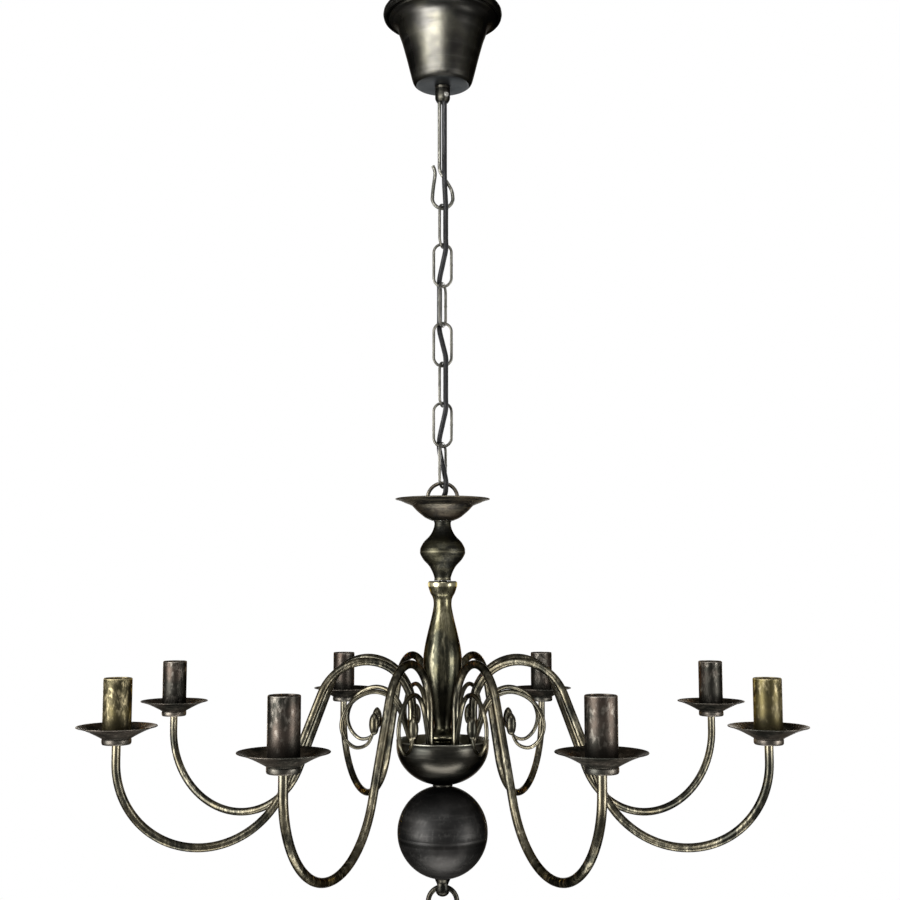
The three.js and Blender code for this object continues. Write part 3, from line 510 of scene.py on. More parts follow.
# The flat bottom gets a lighter, greyer copy of the bell's patina: a painted reflection of what lies below.
disc_painted_reflection = patina("canopy_disc_painted_reflection", (0.016, 0.017, 0.017), (0.024, 0.024, 0.023),
                    (0.055, 0.055, 0.053), brush=(1, 1, 1), worn=0.2, flecks=0.1, rough=0.42)
shader_of(disc_painted_reflection).inputs["Specular Tint"].default_value = (0.60, 0.61, 0.62, 1)


def second_paint(piece, paint, belongs):
    """Gives a piece a second paint on the faces that pass a test."""
    piece.data.materials.append(paint)
    for face in piece.data.polygons:
        if belongs(face):
            face.material_index = 1


bell = smoothed(turned("canopy_bell", bell_outline, 96), 0.25)
fitted(bell, canopy_paint, "canopy", "canopy")
disc_top = (CANOPY_FOOT + DISC_RISE) * MM
# Painted reflection: only the faces that look down on the flat bottom take the lighter paint.
second_paint(bell, disc_painted_reflection, lambda face: face.normal.z < -DISC_SLOPE and face.center.z < disc_top)

# The collar is turned brass, riveted over inside the bell. The screw in its side clamps the
# canopy on the hook's shank. It is plain steel, dulled by age, with a slotted head.
COLLAR_BORE = 5.5
COLLAR_RADIUS = 7.9
COLLAR_NECK = 6.5
COLLAR_BELLY = -97.6
COLLAR_GROOVE = -87.6
GAP = 0.3
SCREW_HEIGHT = -96.0
SCREW_TURN = radians(-63)
SCREW_HEAD = 2.5
SCREW_HEAD_RISE = 1.6
SCREW_SHAFT = 1.6
SCREW_TIP = 3.8
SLOT_WIDTH = 0.7
SLOT_DEPTH = 1.5


def cut(piece, cutter, operation="DIFFERENCE"):
    """Cuts one closed piece by another, or joins them, and removes the second."""
    chosen(piece)
    change = piece.modifiers.new("cut", "BOOLEAN")
    change.operation = operation
    change.solver = "EXACT"
    change.object = cutter
    bpy.ops.object.modifier_apply(modifier=change.name)
    bpy.data.objects.remove(cutter)


def rod(name, radius, foot, head, steps=32):
    """A solid turned rod on the axis, closed at both ends."""
    return turned(name, [(0, foot), (radius, foot), (radius, head), (0, head)], steps)


def laid_out(piece, height):
    """Lays a piece made on the axis along the set screw's own direction."""
    lay = Matrix.Rotation(SCREW_TURN, 4, "Z") @ Matrix.Rotation(pi / 2, 4, "Y")
    piece.data.transform(Matrix.Translation((0, 0, height * MM)) @ lay)
    return piece


collar_foot, collar_head = heights("canopy_collar")
collar_outline = [
    (COLLAR_BORE, collar_foot),
    (6.0, collar_foot),
    *eased((6.2, collar_foot + 0.3), (7.0, collar_foot + 1.7), (7.7, collar_foot + 3.4),
           (COLLAR_RADIUS, COLLAR_BELLY)),
    (COLLAR_RADIUS, COLLAR_GROOVE - 0.8),
    (COLLAR_RADIUS - 0.5, COLLAR_GROOVE - 0.4),
    (COLLAR_RADIUS - 0.5, COLLAR_GROOVE + 0.4),
    (COLLAR_RADIUS, COLLAR_GROOVE + 0.8),
    (COLLAR_RADIUS, CANOPY_FOOT - GAP),
    (COLLAR_NECK, CANOPY_FOOT - GAP),
    (COLLAR_NECK, collar_head - 1.4),
    (9.0, collar_head - 1.4),
    (8.4, collar_head),
    (COLLAR_BORE, collar_head),
]
collar = turned("collar_turning", collar_outline, 64)
tapped_hole = rod("tapped_hole", SCREW_SHAFT + 0.25, COLLAR_BORE - 1.5, COLLAR_RADIUS + 2, 24)
cut(collar, laid_out(tapped_hole, SCREW_HEIGHT))
collar_paint = patina("collar_patina", (0.005, 0.005, 0.0045), (0.010, 0.0095, 0.0075),
                      (0.055, 0.051, 0.040), brush=(0.06, 0.06, 1), worn=0.25, edges=0.2)
fitted(smoothed(collar, 0.2), collar_paint, "canopy_collar", "canopy")

screw_seat = COLLAR_RADIUS + GAP
screw_face = screw_seat + SCREW_HEAD_RISE
screw = turned("set_screw_turning", [
    (0, SCREW_TIP),
    (SCREW_SHAFT, SCREW_TIP + 0.6),
    (SCREW_SHAFT, screw_seat),
    (SCREW_HEAD, screw_seat),
    (SCREW_HEAD, screw_face - 0.5),
    (SCREW_HEAD - 0.6, screw_face),
    (0, screw_face),
], 40)
bpy.ops.object.select_all(action="DESELECT")
bpy.ops.mesh.primitive_cube_add(size=1, location=(0, 0, screw_face * MM))
driver_slot = bpy.context.object
driver_slot.scale = (SLOT_WIDTH * MM, 2.4 * SCREW_HEAD * MM, SLOT_DEPTH * MM)
closed_up(driver_slot)
cut(screw, driver_slot)
laid_out(screw, SCREW_HEIGHT)
screw_steel = drawn_wire("screw_steel", (0.07, 0.07, 0.065), (0.17, 0.165, 0.15), 0.38)
fitted(smoothed(screw, 0.12), screw_steel, "canopy_set_screw", "set_screw")

# The chain has seven oval links of bronzed round wire, each closed by a small weld in one
# long side. Every second link is turned by the cable that is drawn through the chain.
LINK_WIRE = 1.5
LINK_END = 9.15
LINK_LENGTH = 45.15
LINK_TURN = 70.0
LINKS = 7
LINK_STEPS = 64
LINK_CUTS = 15
WELD_GROWTH = 1.16


def standing_torus(name, radius, wire_radius, steps, round_steps):
    """An upright torus of round wire in the XZ plane, sizes in millimetres."""
    bpy.ops.object.select_all(action="DESELECT")
    bpy.ops.mesh.primitive_torus_add(major_segments=steps, minor_segments=round_steps,
                                     major_radius=radius * MM, minor_radius=wire_radius * MM,
                                     rotation=(pi / 2, 0, 0))
    torus = bpy.context.object
    torus.name = name
    bpy.ops.object.transform_apply()
    return torus


def picked(piece, parts, belongs, kind="VERT"):
    """Opens a piece in edit mode with only those of its corners or edges that pass a test."""
    in_edit(piece)
    bpy.ops.mesh.select_mode(type=kind)
    bpy.ops.mesh.select_all(action="DESELECT")
    in_mode("OBJECT")
    for part in parts:
        part.select = belongs(part)
    in_mode("EDIT")


def edge_length(mesh, edge):
    """Length of one edge of a mesh."""
    first, second = [mesh.vertices[index].co for index in edge.vertices]
    return (first - second).length


def oval_link(name, height, turn):
    """A torus pulled out into an oval. Its long sides are cut into short steps, one with the weld."""
    link = standing_torus(name, LINK_END, LINK_WIRE, LINK_STEPS, 20)
    rings = link.data
    rings.transform(Matrix.Rotation(pi / LINK_STEPS, 4, "Y"))
    pull = (LINK_LENGTH / 2 - LINK_END) * MM
    for side in (1, -1):
        picked(link, rings.vertices, lambda corner: corner.co.z * side > 0)
        bpy.ops.transform.translate(value=(0, 0, side * pull))
        in_mode("OBJECT")
    picked(link, rings.edges, lambda edge: edge_length(rings, edge) > 1.2 * pull, "EDGE")
    bpy.ops.mesh.subdivide(number_cuts=LINK_CUTS)
    in_mode("OBJECT")
    picked(link, rings.vertices, lambda corner: corner.co.x > 0 and abs(corner.co.z) < 0.05 * pull)
    bpy.ops.transform.resize(value=(WELD_GROWTH, WELD_GROWTH, 1), center_override=(LINK_END * MM, 0, 0))
    in_mode("OBJECT")
    rings.transform(Matrix.Translation((0, 0, height)) @ Matrix.Rotation(radians(turn), 4, "Z"))
    return smoothed(closed_up(link), sharpest=50)


link_bronze = drawn_wire("link_bronze", (0.028, 0.027, 0.023), (0.088, 0.084, 0.072), 0.32)
for number in range(1, LINKS + 1):
    middle = sum(heights(f"chain_link_{number}")) / 2 * MM
    link = oval_link(f"oval_link_{number}", middle, LINK_TURN if number % 2 == 1 else 0)
    fitted(link, link_bronze, f"chain_link_{number}", "chain")

# The supply cable is black and round, sheathed in soft plastic with a little dust. It runs from
# the terminal block beside the shank, through the chain and down the column to the hub. It is
# drawn in two lengths that meet in the chain, because the chain swings at both its ends.
CABLE_RADIUS = 2.7
CABLE_X = 1.9
WEAVE_X, WEAVE_Y = 3.2, 4.65
PIVOT_X, PIVOT_Y = 3.3, 5.3
PIVOT_SPLIT = 1.15
LOOP_RING = 15.2
LOOP_WIRE = 1.9

link_pitch = LINK_LENGTH - 2 * LINK_WIRE - GAP
chain_pivot = hook_low + HOOK_WIRE
first_link_top = chain_pivot + HOOK_WIRE + LINK_WIRE + GAP
lamp_pivot = first_link_top - (LINKS - 1) * link_pitch - LINK_LENGTH
loop_centre = lamp_pivot + LINK_WIRE + GAP + LOOP_WIRE - LOOP_RING
loop_bottom = loop_centre - LOOP_RING
block_floor = heights("terminal_block")[0]
column_end = heights("cable_in_column")[0]

upper_route = [
    (30, 0, block_floor - GAP),
    (29.5, 0, block_floor - 9),
    (25, 0, block_floor - 19),
    (15, 0, block_floor - 30),
    (6, 0, block_floor - 41),
    (2.4, 0, block_floor - 53),
    (CABLE_X, 0, block_floor - 66),
    (CABLE_X, 0, -110),
    (CABLE_X, 0, eye_height + 52),
    (CABLE_X, -0.6, eye_height + 44),
    (CABLE_X, -3.8, eye_height + 34),
    (CABLE_X, -PIVOT_Y, eye_height + 24),
    (2.1, -PIVOT_Y, eye_height + 14),
    (2.7, -PIVOT_Y, eye_height + 2),
    (PIVOT_X, -PIVOT_Y, chain_pivot + PIVOT_SPLIT),
    (PIVOT_X, -PIVOT_Y, chain_pivot - PIVOT_SPLIT),
    (WEAVE_X, -WEAVE_Y - 0.4, chain_pivot - 10),
]


def crossing(number):
    """Height where the wires of one link and the next cross."""
    return first_link_top - (number + 1) * link_pitch + GAP / 2 - LINK_WIRE


chain_route = [(WEAVE_X, -WEAVE_Y, crossing(0) + 16)]
side = 1
for number in range(LINKS - 1):
    chain_route.append((side * WEAVE_X, -side * WEAVE_Y, crossing(number) + 6))
    chain_route.append((side * WEAVE_X, -side * WEAVE_Y, crossing(number) - 6))
    if number % 2 == 0 or number == LINKS - 2:
        chain_route.append((0, 0, crossing(number) - link_pitch / 2))
        side = -side

lower_route = [
    (PIVOT_X, -PIVOT_Y, lamp_pivot + 6),
    (PIVOT_X, -PIVOT_Y, lamp_pivot + PIVOT_SPLIT),
    (PIVOT_X, -PIVOT_Y, lamp_pivot - PIVOT_SPLIT),
    (PIVOT_X - 0.4, 0.5 - PIVOT_Y, lamp_pivot - 6),
    (1.6, -2.9, loop_centre + 2),
    (0.4, -0.7, loop_centre - 7),
    (0, 0, loop_bottom + 3),
    (0, 0, loop_bottom - 8),
    (0, 0, (loop_bottom + column_end) / 2),
    (0, 0, column_end),
]

sheath = mottled("cable_sheath", (220, 5, 0.45, 0.75), (0.006, 0.006, 0.007), (0.017, 0.016, 0.016),
                 gloss=(120, 0.2, 0.42), grain=(260, 0.25, 0.0002), stretch=(1, 1, 0.5))
shader_of(sheath).inputs["Specular IOR Level"].default_value = 0.08
whole_line = eased(*upper_route, *chain_route, *lower_route, steps=6)
join_height = crossing(3)
upper_line = [point for point in whole_line if point[2] > join_height]
lower_line = [point for point in whole_line if point[2] <= join_height]
lower_line.insert(0, upper_line[-1])
for name, line, above, below, pivot, nodes in (
    ("cable_upper", upper_line, "ceiling_fixing", "chain", chain_pivot,
     ("cable_in_canopy", "cable_in_chain")),
    ("cable_lower", lower_line, "chain", "lamp_frame", lamp_pivot, ("cable_in_column",)),
):
    cable = smoothed(wire(name, line, CABLE_RADIUS, 6), sharpest=50)
    cable.data.materials.append(sheath)
    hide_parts(*nodes)
    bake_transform(cable)

# The column loop is a forged ring brazed on a hollow boss. The last link carries it, and the
# central tube screws into it from below, with the cable going down through both.
BOSS_RADIUS = 8.5
BOSS_RISE = 3.5
CABLE_HOLE = 3.8
COLUMN_BORE = 5.3
LOOP_THREAD_END = 3.6

boss_foot = heights("column_loop")[0]
boss_head = loop_bottom + BOSS_RISE
loop_ring = standing_torus("loop_forging", LOOP_RING, LOOP_WIRE, 72, 18)
loop_ring.data.transform(Matrix.Translation((0, 0, loop_centre * MM)))
closed_up(loop_ring)
boss = turned("loop_boss", [
    (0, boss_foot),
    (BOSS_RADIUS, boss_foot),
    (BOSS_RADIUS, boss_head - 4.6),
    *eased((BOSS_RADIUS - 0.6, boss_head - 4.0), (6.6, boss_head - 2.4), (5.4, boss_head - 0.4)),
    (4.6, boss_head),
    (0, boss_head),
], 48)
cut(loop_ring, boss, "UNION")
cut(loop_ring, rod("cable_hole", CABLE_HOLE, boss_foot - 1, boss_head + 6))
cut(loop_ring, rod("loop_thread", COLUMN_BORE, boss_foot - 1, boss_head - LOOP_THREAD_END))
loop_paint = patina("loop_patina", (0.022, 0.021, 0.018), (0.040, 0.034, 0.027), (0.16, 0.14, 0.10),
                    brush=(1, 1, 0.3), worn=0.4)
fitted(smoothed(loop_ring, 0.2), loop_paint, "column_loop")

# The central tube is threaded steel and draws the whole column together. Only its ends could
# be seen, so it keeps the CAD shape, with zinc on it.
finish_node("central_tube", zinc)

# The top dish is spun brass: a small bowl under a thin sloping rim. It catches dust above
# and is the most rubbed along its rim.
DISH_SECTION = ((10.8, 0.0), (17.4, 2.9), (22.0, 6.4), (26.4, 10.2), (29.4, 13.4), (31.2, 15.3))
DISH_FLARE = ((31.2, 15.3), (34.6, 16.8), (38.6, 18.3), (42.8, 20.2), (46.6, 21.3))
DISH_WALL = 1.3

dish_foot = heights("top_dish")[0]
dish_under = [*eased(*DISH_SECTION)[:-1], *eased(*DISH_FLARE)]
dish_rim = [(48.0, 21.6), (48.4, 22.0), (48.1, 22.5), (47.2, 22.7)]
dish_over = [(radius - 0.5, height + DISH_WALL) for radius, height in reversed(dish_under)]
dish_section = [(COLUMN_BORE, 0), *dish_under, *dish_rim, *dish_over, (COLUMN_BORE, DISH_WALL)]
dish = turned("dish_spinning", [(radius, dish_foot + height) for radius, height in dish_section], 96)
dish_paint = patina("dish_patina", (0.014, 0.013, 0.012), (0.034, 0.028, 0.021), (0.20, 0.18, 0.13),
                    brush=(0.08, 0.08, 1), worn=0.35, flecks=0.10, edges=0.7, rough=0.40)
fitted(smoothed(dish, 0.2), dish_paint, "top_dish")

# The bulb spindle and the baluster are turned brass threaded on the tube. The spindle's foot
# stands in the flared cup at the baluster's head, and the baluster stands on the hub.
SPINDLE_DROPS = ((9.2, 0.0), (8.3, 2.9), (9.8, 9.2), (13.4, 15.3), (19.2, 21.4), (22.5, 27.4), (22.9, 30.5),
                 (22.7, 33.6), (19.3, 39.6), (13.7, 45.7), (10.3, 51.9), (8.4, 57.6), (8.7, 60.6))
BALUSTER_CUP_DROPS = ((13.4, 0.0), (14.6, 1.3), (14.9, 3.4), (14.4, 6.2), (12.5, 12.0), (10.6, 15.3))
BALUSTER_DROPS = ((10.6, 15.3), (9.4, 19.0), (9.1, 24.2), (10.0, 30.2), (12.0, 39.3), (15.0, 51.4),
                  (17.7, 63.5), (19.2, 73.5), (19.5, 80.0), (18.9, 91.4), (16.6, 106.3), (12.8, 124.3),
                  (9.7, 136.2), (8.4, 144.0))
BALUSTER_FOOT_DROPS = ((8.4, 146.2), (9.4, 148.4), (14.2, 152.6), (15.6, 154.4), (15.5, 156.2),
                       (13.2, 157.8), (12.0, 159.0), (14.0, 160.4), (21.4, 163.0), (25.2, 164.6),
                       (26.0, 166.2))


def down_from(head, drops):
    """Outline points from their radii and their drops below the piece's head."""
    return [(radius, head - drop) for radius, drop in drops]


spindle_foot, spindle_head = heights("bulb_spindle")
spindle_outline = [(COLUMN_BORE, spindle_head), *down_from(spindle_head, eased(*SPINDLE_DROPS)),
                   (COLUMN_BORE, spindle_foot)]
spindle = turned("spindle_turning", spindle_outline, 80)
# The lighter bands at the bulb's ridge and near its foot are painted highlight lines.
spindle_paint = patina("spindle_patina", (0.007, 0.007, 0.006), (0.014, 0.013, 0.008), (0.12, 0.11, 0.075),
                       brush=(0.12, 0.12, 1), worn=0.15, flecks=0.10, rough=0.42,
                       rubbed_and_highlight_bands=((spindle_head - 31.5, 1.2, 0.22), (spindle_foot + 2.0, 1.6, 0.3)))
fitted(smoothed(spindle, 0.2), spindle_paint, "bulb_spindle")

baluster_foot, baluster_head = heights("baluster")
# Painted glints in bands at the cup's rim and on the foot, and painted shade that darkens the lower body
# towards near black.
baluster_paint = patina("baluster_patina", (0.010, 0.010, 0.007), (0.034, 0.031, 0.018), (0.34, 0.31, 0.21),
                        brush=(1, 1, 0.08), worn=0.36, flecks=0.12, rough=0.29,
                        rubbed_and_highlight_bands=((baluster_head - 3.4, 3.4, 0.6), (baluster_foot + 12.5, 3.0, 0.4),
                               (baluster_foot + 1.5, 1.6, 0.5)),
                        painted_shade=((baluster_foot + 40.0, 44.0, 0.9),))
baluster_drops = [
    *eased(*BALUSTER_CUP_DROPS)[:-1],
    *eased(*BALUSTER_DROPS),
    *eased(*BALUSTER_FOOT_DROPS, steps=3),
]
baluster_outline = [
    (COLUMN_BORE, baluster_head),
    *down_from(baluster_head, baluster_drops),
    (BALUSTER_FOOT_DROPS[-1][0], baluster_foot),
    (COLUMN_BORE, baluster_foot),
]
baluster = turned("baluster_turning", baluster_outline, 80)
fitted(smoothed(baluster, 0.2), baluster_paint, "baluster")

# The hub plate is a pressed disc with a hole for each arm's leg. The clamp plate below it is
# out of sight and keeps the CAD shape: it presses the arms' flanges up against the hub plate.
ARMS = 8
ARM_ANGLE = 360 / ARMS
FIRST_ARM_DEGREES = -67.5
LEG_RADIUS = 33.0
LEG_HOLE = 4.7
PLATE_RADIUS = 43.2


def out_on_arm(number, reach):
    """Moves out by a reach in millimetres and turns to an arm's own azimuth, from arm 1 on."""
    azimuth = radians(FIRST_ARM_DEGREES + (number - 1) * ARM_ANGLE)
    return Matrix.Rotation(azimuth, 4, "Z") @ Matrix.Translation((reach * MM, 0, 0))


plate_foot, plate_head = heights("hub_plate")
plate = turned("hub_plate_pressing", [
    (COLUMN_BORE, plate_foot),
    (PLATE_RADIUS, plate_foot),
    (PLATE_RADIUS, plate_head),
    (COLUMN_BORE, plate_head),
], 96)
for number in range(1, ARMS + 1):
    leg_hole = rod("leg_hole", LEG_HOLE, plate_foot - 1, plate_head + 1, 28)
    leg_hole.data.transform(out_on_arm(number, LEG_RADIUS))
    cut(plate, leg_hole)
# An olive paint made much lighter than the patina: painted light inside the bowl, on the hub plate and the
# bowl's inner wall.
plate_painted_light = patina("plate_patina_painted_light", (0.13, 0.12, 0.08), (0.21, 0.19, 0.13), (0.34, 0.31, 0.23),
                     brush=(1, 1, 1), worn=0.3, flecks=0.3, rough=0.5)
shader_of(plate_painted_light).inputs["Metallic"].default_value = 0.1
fitted(smoothed(plate, 0.25), plate_painted_light, "hub_plate")
finish_node("clamp_plate", zinc)

# The hub bowl is an open spun bowl on a small seat, the lower ball a closed hollow one. The
# tube passes through both, and the finial under them tightens the column.
BOWL_RADIUS = 46.4
BOWL_WALL = 1.2
BOWL_STRAIGHT = 5.5
BOWL_ROUND = 39.3
BOWL_SEAT = 10.0
BALL_RADIUS = 45.0
BALL_SEAM_DROP = 2.5
BALL_SEAM_DEPTH = 0.15
BALL_SEAM_HALF = 0.3
BALL_WALL = 1.2

bowl_foot, bowl_rim = heights("hub_bowl")
bowl_belly = bowl_rim - BOWL_STRAIGHT


def rounded_bottom(radius, depth, steps):
    """The bowl's rounded bottom, from its seat out to its belly."""
    first = acos(BOWL_SEAT / radius)
    turns = [first * (1 - step / steps) for step in range(steps + 1)]
    return [(radius * cos(turn), bowl_belly - depth * sin(turn)) for turn in turns]


bowl_hollow = rounded_bottom(BOWL_RADIUS - BOWL_WALL, BOWL_ROUND - BOWL_WALL, 24)
bowl_outline = [
    (COLUMN_BORE, bowl_foot),
    (BOWL_SEAT - 0.4, bowl_foot),
    (BOWL_SEAT, bowl_foot + 0.4),
    *rounded_bottom(BOWL_RADIUS, BOWL_ROUND, 30),
    (BOWL_RADIUS, bowl_rim - 1.9),
    (BOWL_RADIUS + 0.2, bowl_rim - 1.6),
    (BOWL_RADIUS + 0.2, bowl_rim - 0.4),
    (BOWL_RADIUS - 0.3, bowl_rim),
    (BOWL_RADIUS - BOWL_WALL, bowl_rim - 0.2),
    *reversed(bowl_hollow),
    (COLUMN_BORE, bowl_hollow[0][1]),
]
bowl = turned("bowl_spinning", bowl_outline, 96)
# The lighter band along the rim is partly rubbed brass and partly a painted highlight.
bowl_paint = patina("bowl_patina", (0.007, 0.007, 0.006), (0.013, 0.012, 0.010), (0.085, 0.082, 0.068),
                    brush=(0.08, 0.08, 1), worn=0.25, edges=0.3, rough=0.30,
                    rubbed_and_highlight_bands=((bowl_rim - 0.6, 1.4, 0.7),))
fitted(smoothed(bowl, 0.2), bowl_paint, "hub_bowl")
# Painted light: the bowl's inward faces take the lighter plate paint.
second_paint(bowl, plate_painted_light, lambda face: face.normal.xy.dot(face.center.xy) < 0)


def arc(radius, centre, start, end, steps):
    """Outline points on a sphere between two heights in millimetres."""
    first = asin(max(-1, (start - centre) / radius))
    last = asin(min(1, (end - centre) / radius))
    turns = [first + (last - first) * step / steps for step in range(steps + 1)]
    return [(radius * cos(turn), centre + radius * sin(turn)) for turn in turns]


ball_foot, ball_head = heights("lower_ball")
ball_centre = (ball_foot + ball_head) / 2
ball_seam = ball_centre - BALL_SEAM_DROP
ball_hollow = sqrt((BALL_RADIUS - BALL_WALL) ** 2 - COLUMN_BORE ** 2)
ball_outline = [
    (COLUMN_BORE, ball_foot),
    *arc(BALL_RADIUS, ball_centre, ball_foot, ball_seam - BALL_SEAM_HALF, 26),
    (BALL_RADIUS - BALL_SEAM_DEPTH, ball_seam),
    *arc(BALL_RADIUS, ball_centre, ball_seam + BALL_SEAM_HALF, ball_head, 26),
    (COLUMN_BORE, ball_head),
    *arc(BALL_RADIUS - BALL_WALL, ball_centre, ball_centre + ball_hollow, ball_centre - ball_hollow, 20),
]
ball = turned("ball_spinning", ball_outline, 96)
# A thin painted highlight at the seam, a painted reflection that lightens the lower part, and a band of
# painted shade just under the seam.
ball_paint = patina("ball_patina", (0.0065, 0.0064, 0.0062), (0.012, 0.0115, 0.011), (0.07, 0.068, 0.064),
                    brush=(0.08, 0.08, 1), worn=0.15, flecks=0.1, edges=0.1, rough=0.48,
                    rubbed_and_highlight_bands=((ball_seam - 1.2, 1.6, 0.12), (ball_foot + 3.0, 24.0, 0.16)),
                    painted_shade=((ball_seam - 4.5, 2.5, 0.5),))
fitted(smoothed(ball, 0.15), ball_paint, "lower_ball")

# The finial is a turned brass nut with a flared eye across it, and a loose ring of thick brass
# wire hangs in the eye, to hold the lamp still while it is dusted or its lamps are changed.
FINIAL_DROPS = ((8.3, 0.0), (7.6, 1.2), (6.7, 3.4), (6.6, 5.2), (7.2, 8.4), (7.1, 12.0), (6.2, 14.4),
                (4.4, 16.4), (2.2, 17.4))
FINIAL_LENGTH = 17.6
EYE_DROP = 8.4
EYE_FLARE = ((5.4, -6.6), (3.3, -2.6), (3.0, 0), (3.3, 2.6), (5.4, 6.6))
EYE_MOUTH = 6.6
EYE_REACH = 9.0
RING_RADIUS = 14.1
RING_WIRE = 2.5
RING_JOINT = 0.9

finial_head = heights("finial_eye")[1]
finial = turned("finial_turning", [
    (0, finial_head),
    *down_from(finial_head, eased(*FINIAL_DROPS)),
    (0, finial_head - FINIAL_LENGTH),
], 64)
cut(finial, rod("finial_thread", COLUMN_BORE, heights("central_tube")[0] - GAP, finial_head + 1, 40))
eye_cutter = turned("eye_cutter", [
    (0, -EYE_REACH),
    (EYE_MOUTH, -EYE_REACH),
    *eased(*EYE_FLARE),
    (EYE_MOUTH, EYE_REACH),
    (0, EYE_REACH),
], 40)
ring_pivot = finial_head - EYE_DROP
across = Matrix.Rotation(pi / 2, 4, "Y")
eye_cutter.data.transform(Matrix.Translation((0, 0, ring_pivot * MM)) @ across)
cut(finial, eye_cutter)
ring_paint = patina("ring_patina", (0.004, 0.004, 0.0036), (0.009, 0.008, 0.006), (0.08, 0.074, 0.057),
                    brush=(1, 1, 0.3), worn=0.3, flecks=0.15, rough=0.34)
fitted(smoothed(finial, 0.2), ring_paint, "finial_eye")

ring = standing_torus("ring_wire", RING_RADIUS, RING_WIRE, 96, 20)
picked(ring, ring.data.vertices, lambda corner: abs(corner.co.z) < 0.2 * MM and corner.co.x < 0)
bpy.ops.transform.resize(value=(RING_JOINT, RING_JOINT, 1), center_override=(-RING_RADIUS * MM, 0, 0))
in_mode("OBJECT")
ring.data.transform(Matrix.Translation((0, 0, (ring_pivot - RING_RADIUS) * MM)))
fitted(smoothed(closed_up(ring), sharpest=50), ring_paint, "pull_ring", "pull_ring")

# Each arm is one brass tube, solid in this model, bent over a crest and back up under its cup. A
# tapered rod is brazed to it and curls in to a leaf-shaped bud. A flange at the foot is clamped
# in the hub, and a threaded spigot at the head holds the cup and the lamp holder.
ARM_TUBE = 4.0
ARM_REACH = 320.0
CREST_BEND = 49.0
CREST_LIFT = 44.15
RUN_SLOPE = radians(67.67)
RUN_LENGTH = 91.66
RISER_LENGTH = 15.1
FLANGE_RADIUS = 6.2
FLANGE_RISE = 2.0
SPIGOT_RADIUS = 3.0
SPIGOT_LENGTH = 9.5
SCROLL_ROD = 2.5
SCROLL_REACH = 73.5
SCROLL_SHARES = ((0.02, -0.422), (0.095, -0.204), (0.197, 0.041), (0.34, 0.204), (0.544, 0.264),
                 (0.762, 0.204), (0.925, 0.054), (1.0, -0.15), (0.946, -0.34), (0.803, -0.457),
                 (0.646, -0.429), (0.565, -0.299), (0.544, -0.15))
SCROLL_THINNING = 0.42
BUD_SHARE = (0.541, -0.163)
BUD_RADIUS = 5.0
BUD_LENGTH = 22.0

flange_foot = heights("clamp_plate")[1] + GAP
crest = Vector((LEG_RADIUS + CREST_BEND, 0, flange_foot + CREST_LIFT))
run_start = crest + CREST_BEND * Vector((sin(RUN_SLOPE), 0, cos(RUN_SLOPE)))
run = RUN_LENGTH * Vector((cos(RUN_SLOPE), 0, -sin(RUN_SLOPE)))
run_end = run_start + run
sweep_bend = (ARM_REACH - run_end.x) / (1 + sin(RUN_SLOPE))
sweep = Vector((ARM_REACH - sweep_bend, 0, run_end.z + sweep_bend * cos(RUN_SLOPE)))
arm_head = sweep.z + RISER_LENGTH
cup_foot = heights("drip_cup_1")[0]
half_turn = pi / 2 + RUN_SLOPE

bpy.ops.object.select_all(action="DESELECT")
bpy.ops.mesh.primitive_circle_add(vertices=24, radius=ARM_TUBE * MM,
                                  location=(LEG_RADIUS * MM, 0, flange_foot * MM))
arm = bpy.context.object
arm.name = "arm_bending"
in_mode("EDIT")
bpy.ops.mesh.extrude_region_move(TRANSFORM_OT_translate={"value": (0, 0, CREST_LIFT * MM)})
bpy.ops.mesh.spin(steps=36, angle=-half_turn, center=crest * MM, axis=(0, 1, 0))
bpy.ops.mesh.extrude_region_move(TRANSFORM_OT_translate={"value": run * MM})
bpy.ops.mesh.spin(steps=48, angle=half_turn, center=sweep * MM, axis=(0, 1, 0))
bpy.ops.mesh.extrude_region_move(TRANSFORM_OT_translate={"value": (0, 0, RISER_LENGTH * MM)})
bpy.ops.mesh.select_all(action="SELECT")
bpy.ops.mesh.fill_holes(sides=0)
in_mode("OBJECT")
closed_up(arm)


def scroll_place(share):
    """A point of the scroll, from its distance and height in shares of its reach."""
    return (LEG_RADIUS + share[0] * SCROLL_REACH, 0, crest.z + share[1] * SCROLL_REACH)


scroll_line = eased(*map(scroll_place, SCROLL_SHARES), steps=6)
along = [step / len(scroll_line) for step in range(len(scroll_line))]
thinned = [1.0 - SCROLL_THINNING * share ** 1.5 for share in along]
cut(arm, wire("scroll_rod", scroll_line, SCROLL_ROD, 4, thinned), "UNION")
bud_x, _, bud_z = scroll_place(BUD_SHARE)
half_bud = BUD_LENGTH / 2
bud_outline = eased((0, -half_bud), (0.68 * BUD_RADIUS, -0.78 * half_bud), (BUD_RADIUS, -0.15 * half_bud),
                    (0.86 * BUD_RADIUS, 0.5 * half_bud), (0.4 * BUD_RADIUS, 0.88 * half_bud), (0, half_bud))
bud = turned("scroll_bud", bud_outline, 24)
bud.data.transform(Matrix.Translation((bud_x * MM, 0, bud_z * MM)))
cut(arm, bud, "UNION")
for radius, foot, head, reach in (
    (FLANGE_RADIUS, flange_foot, flange_foot + FLANGE_RISE, LEG_RADIUS),
    (SPIGOT_RADIUS, arm_head - 2, cup_foot + SPIGOT_LENGTH, ARM_REACH),
):
    arm_end = rod("arm_end", radius, foot, head)
    arm_end.data.transform(Matrix.Translation((reach * MM, 0, 0)))
    cut(arm, arm_end, "UNION")
smoothed(arm, sharpest=42)


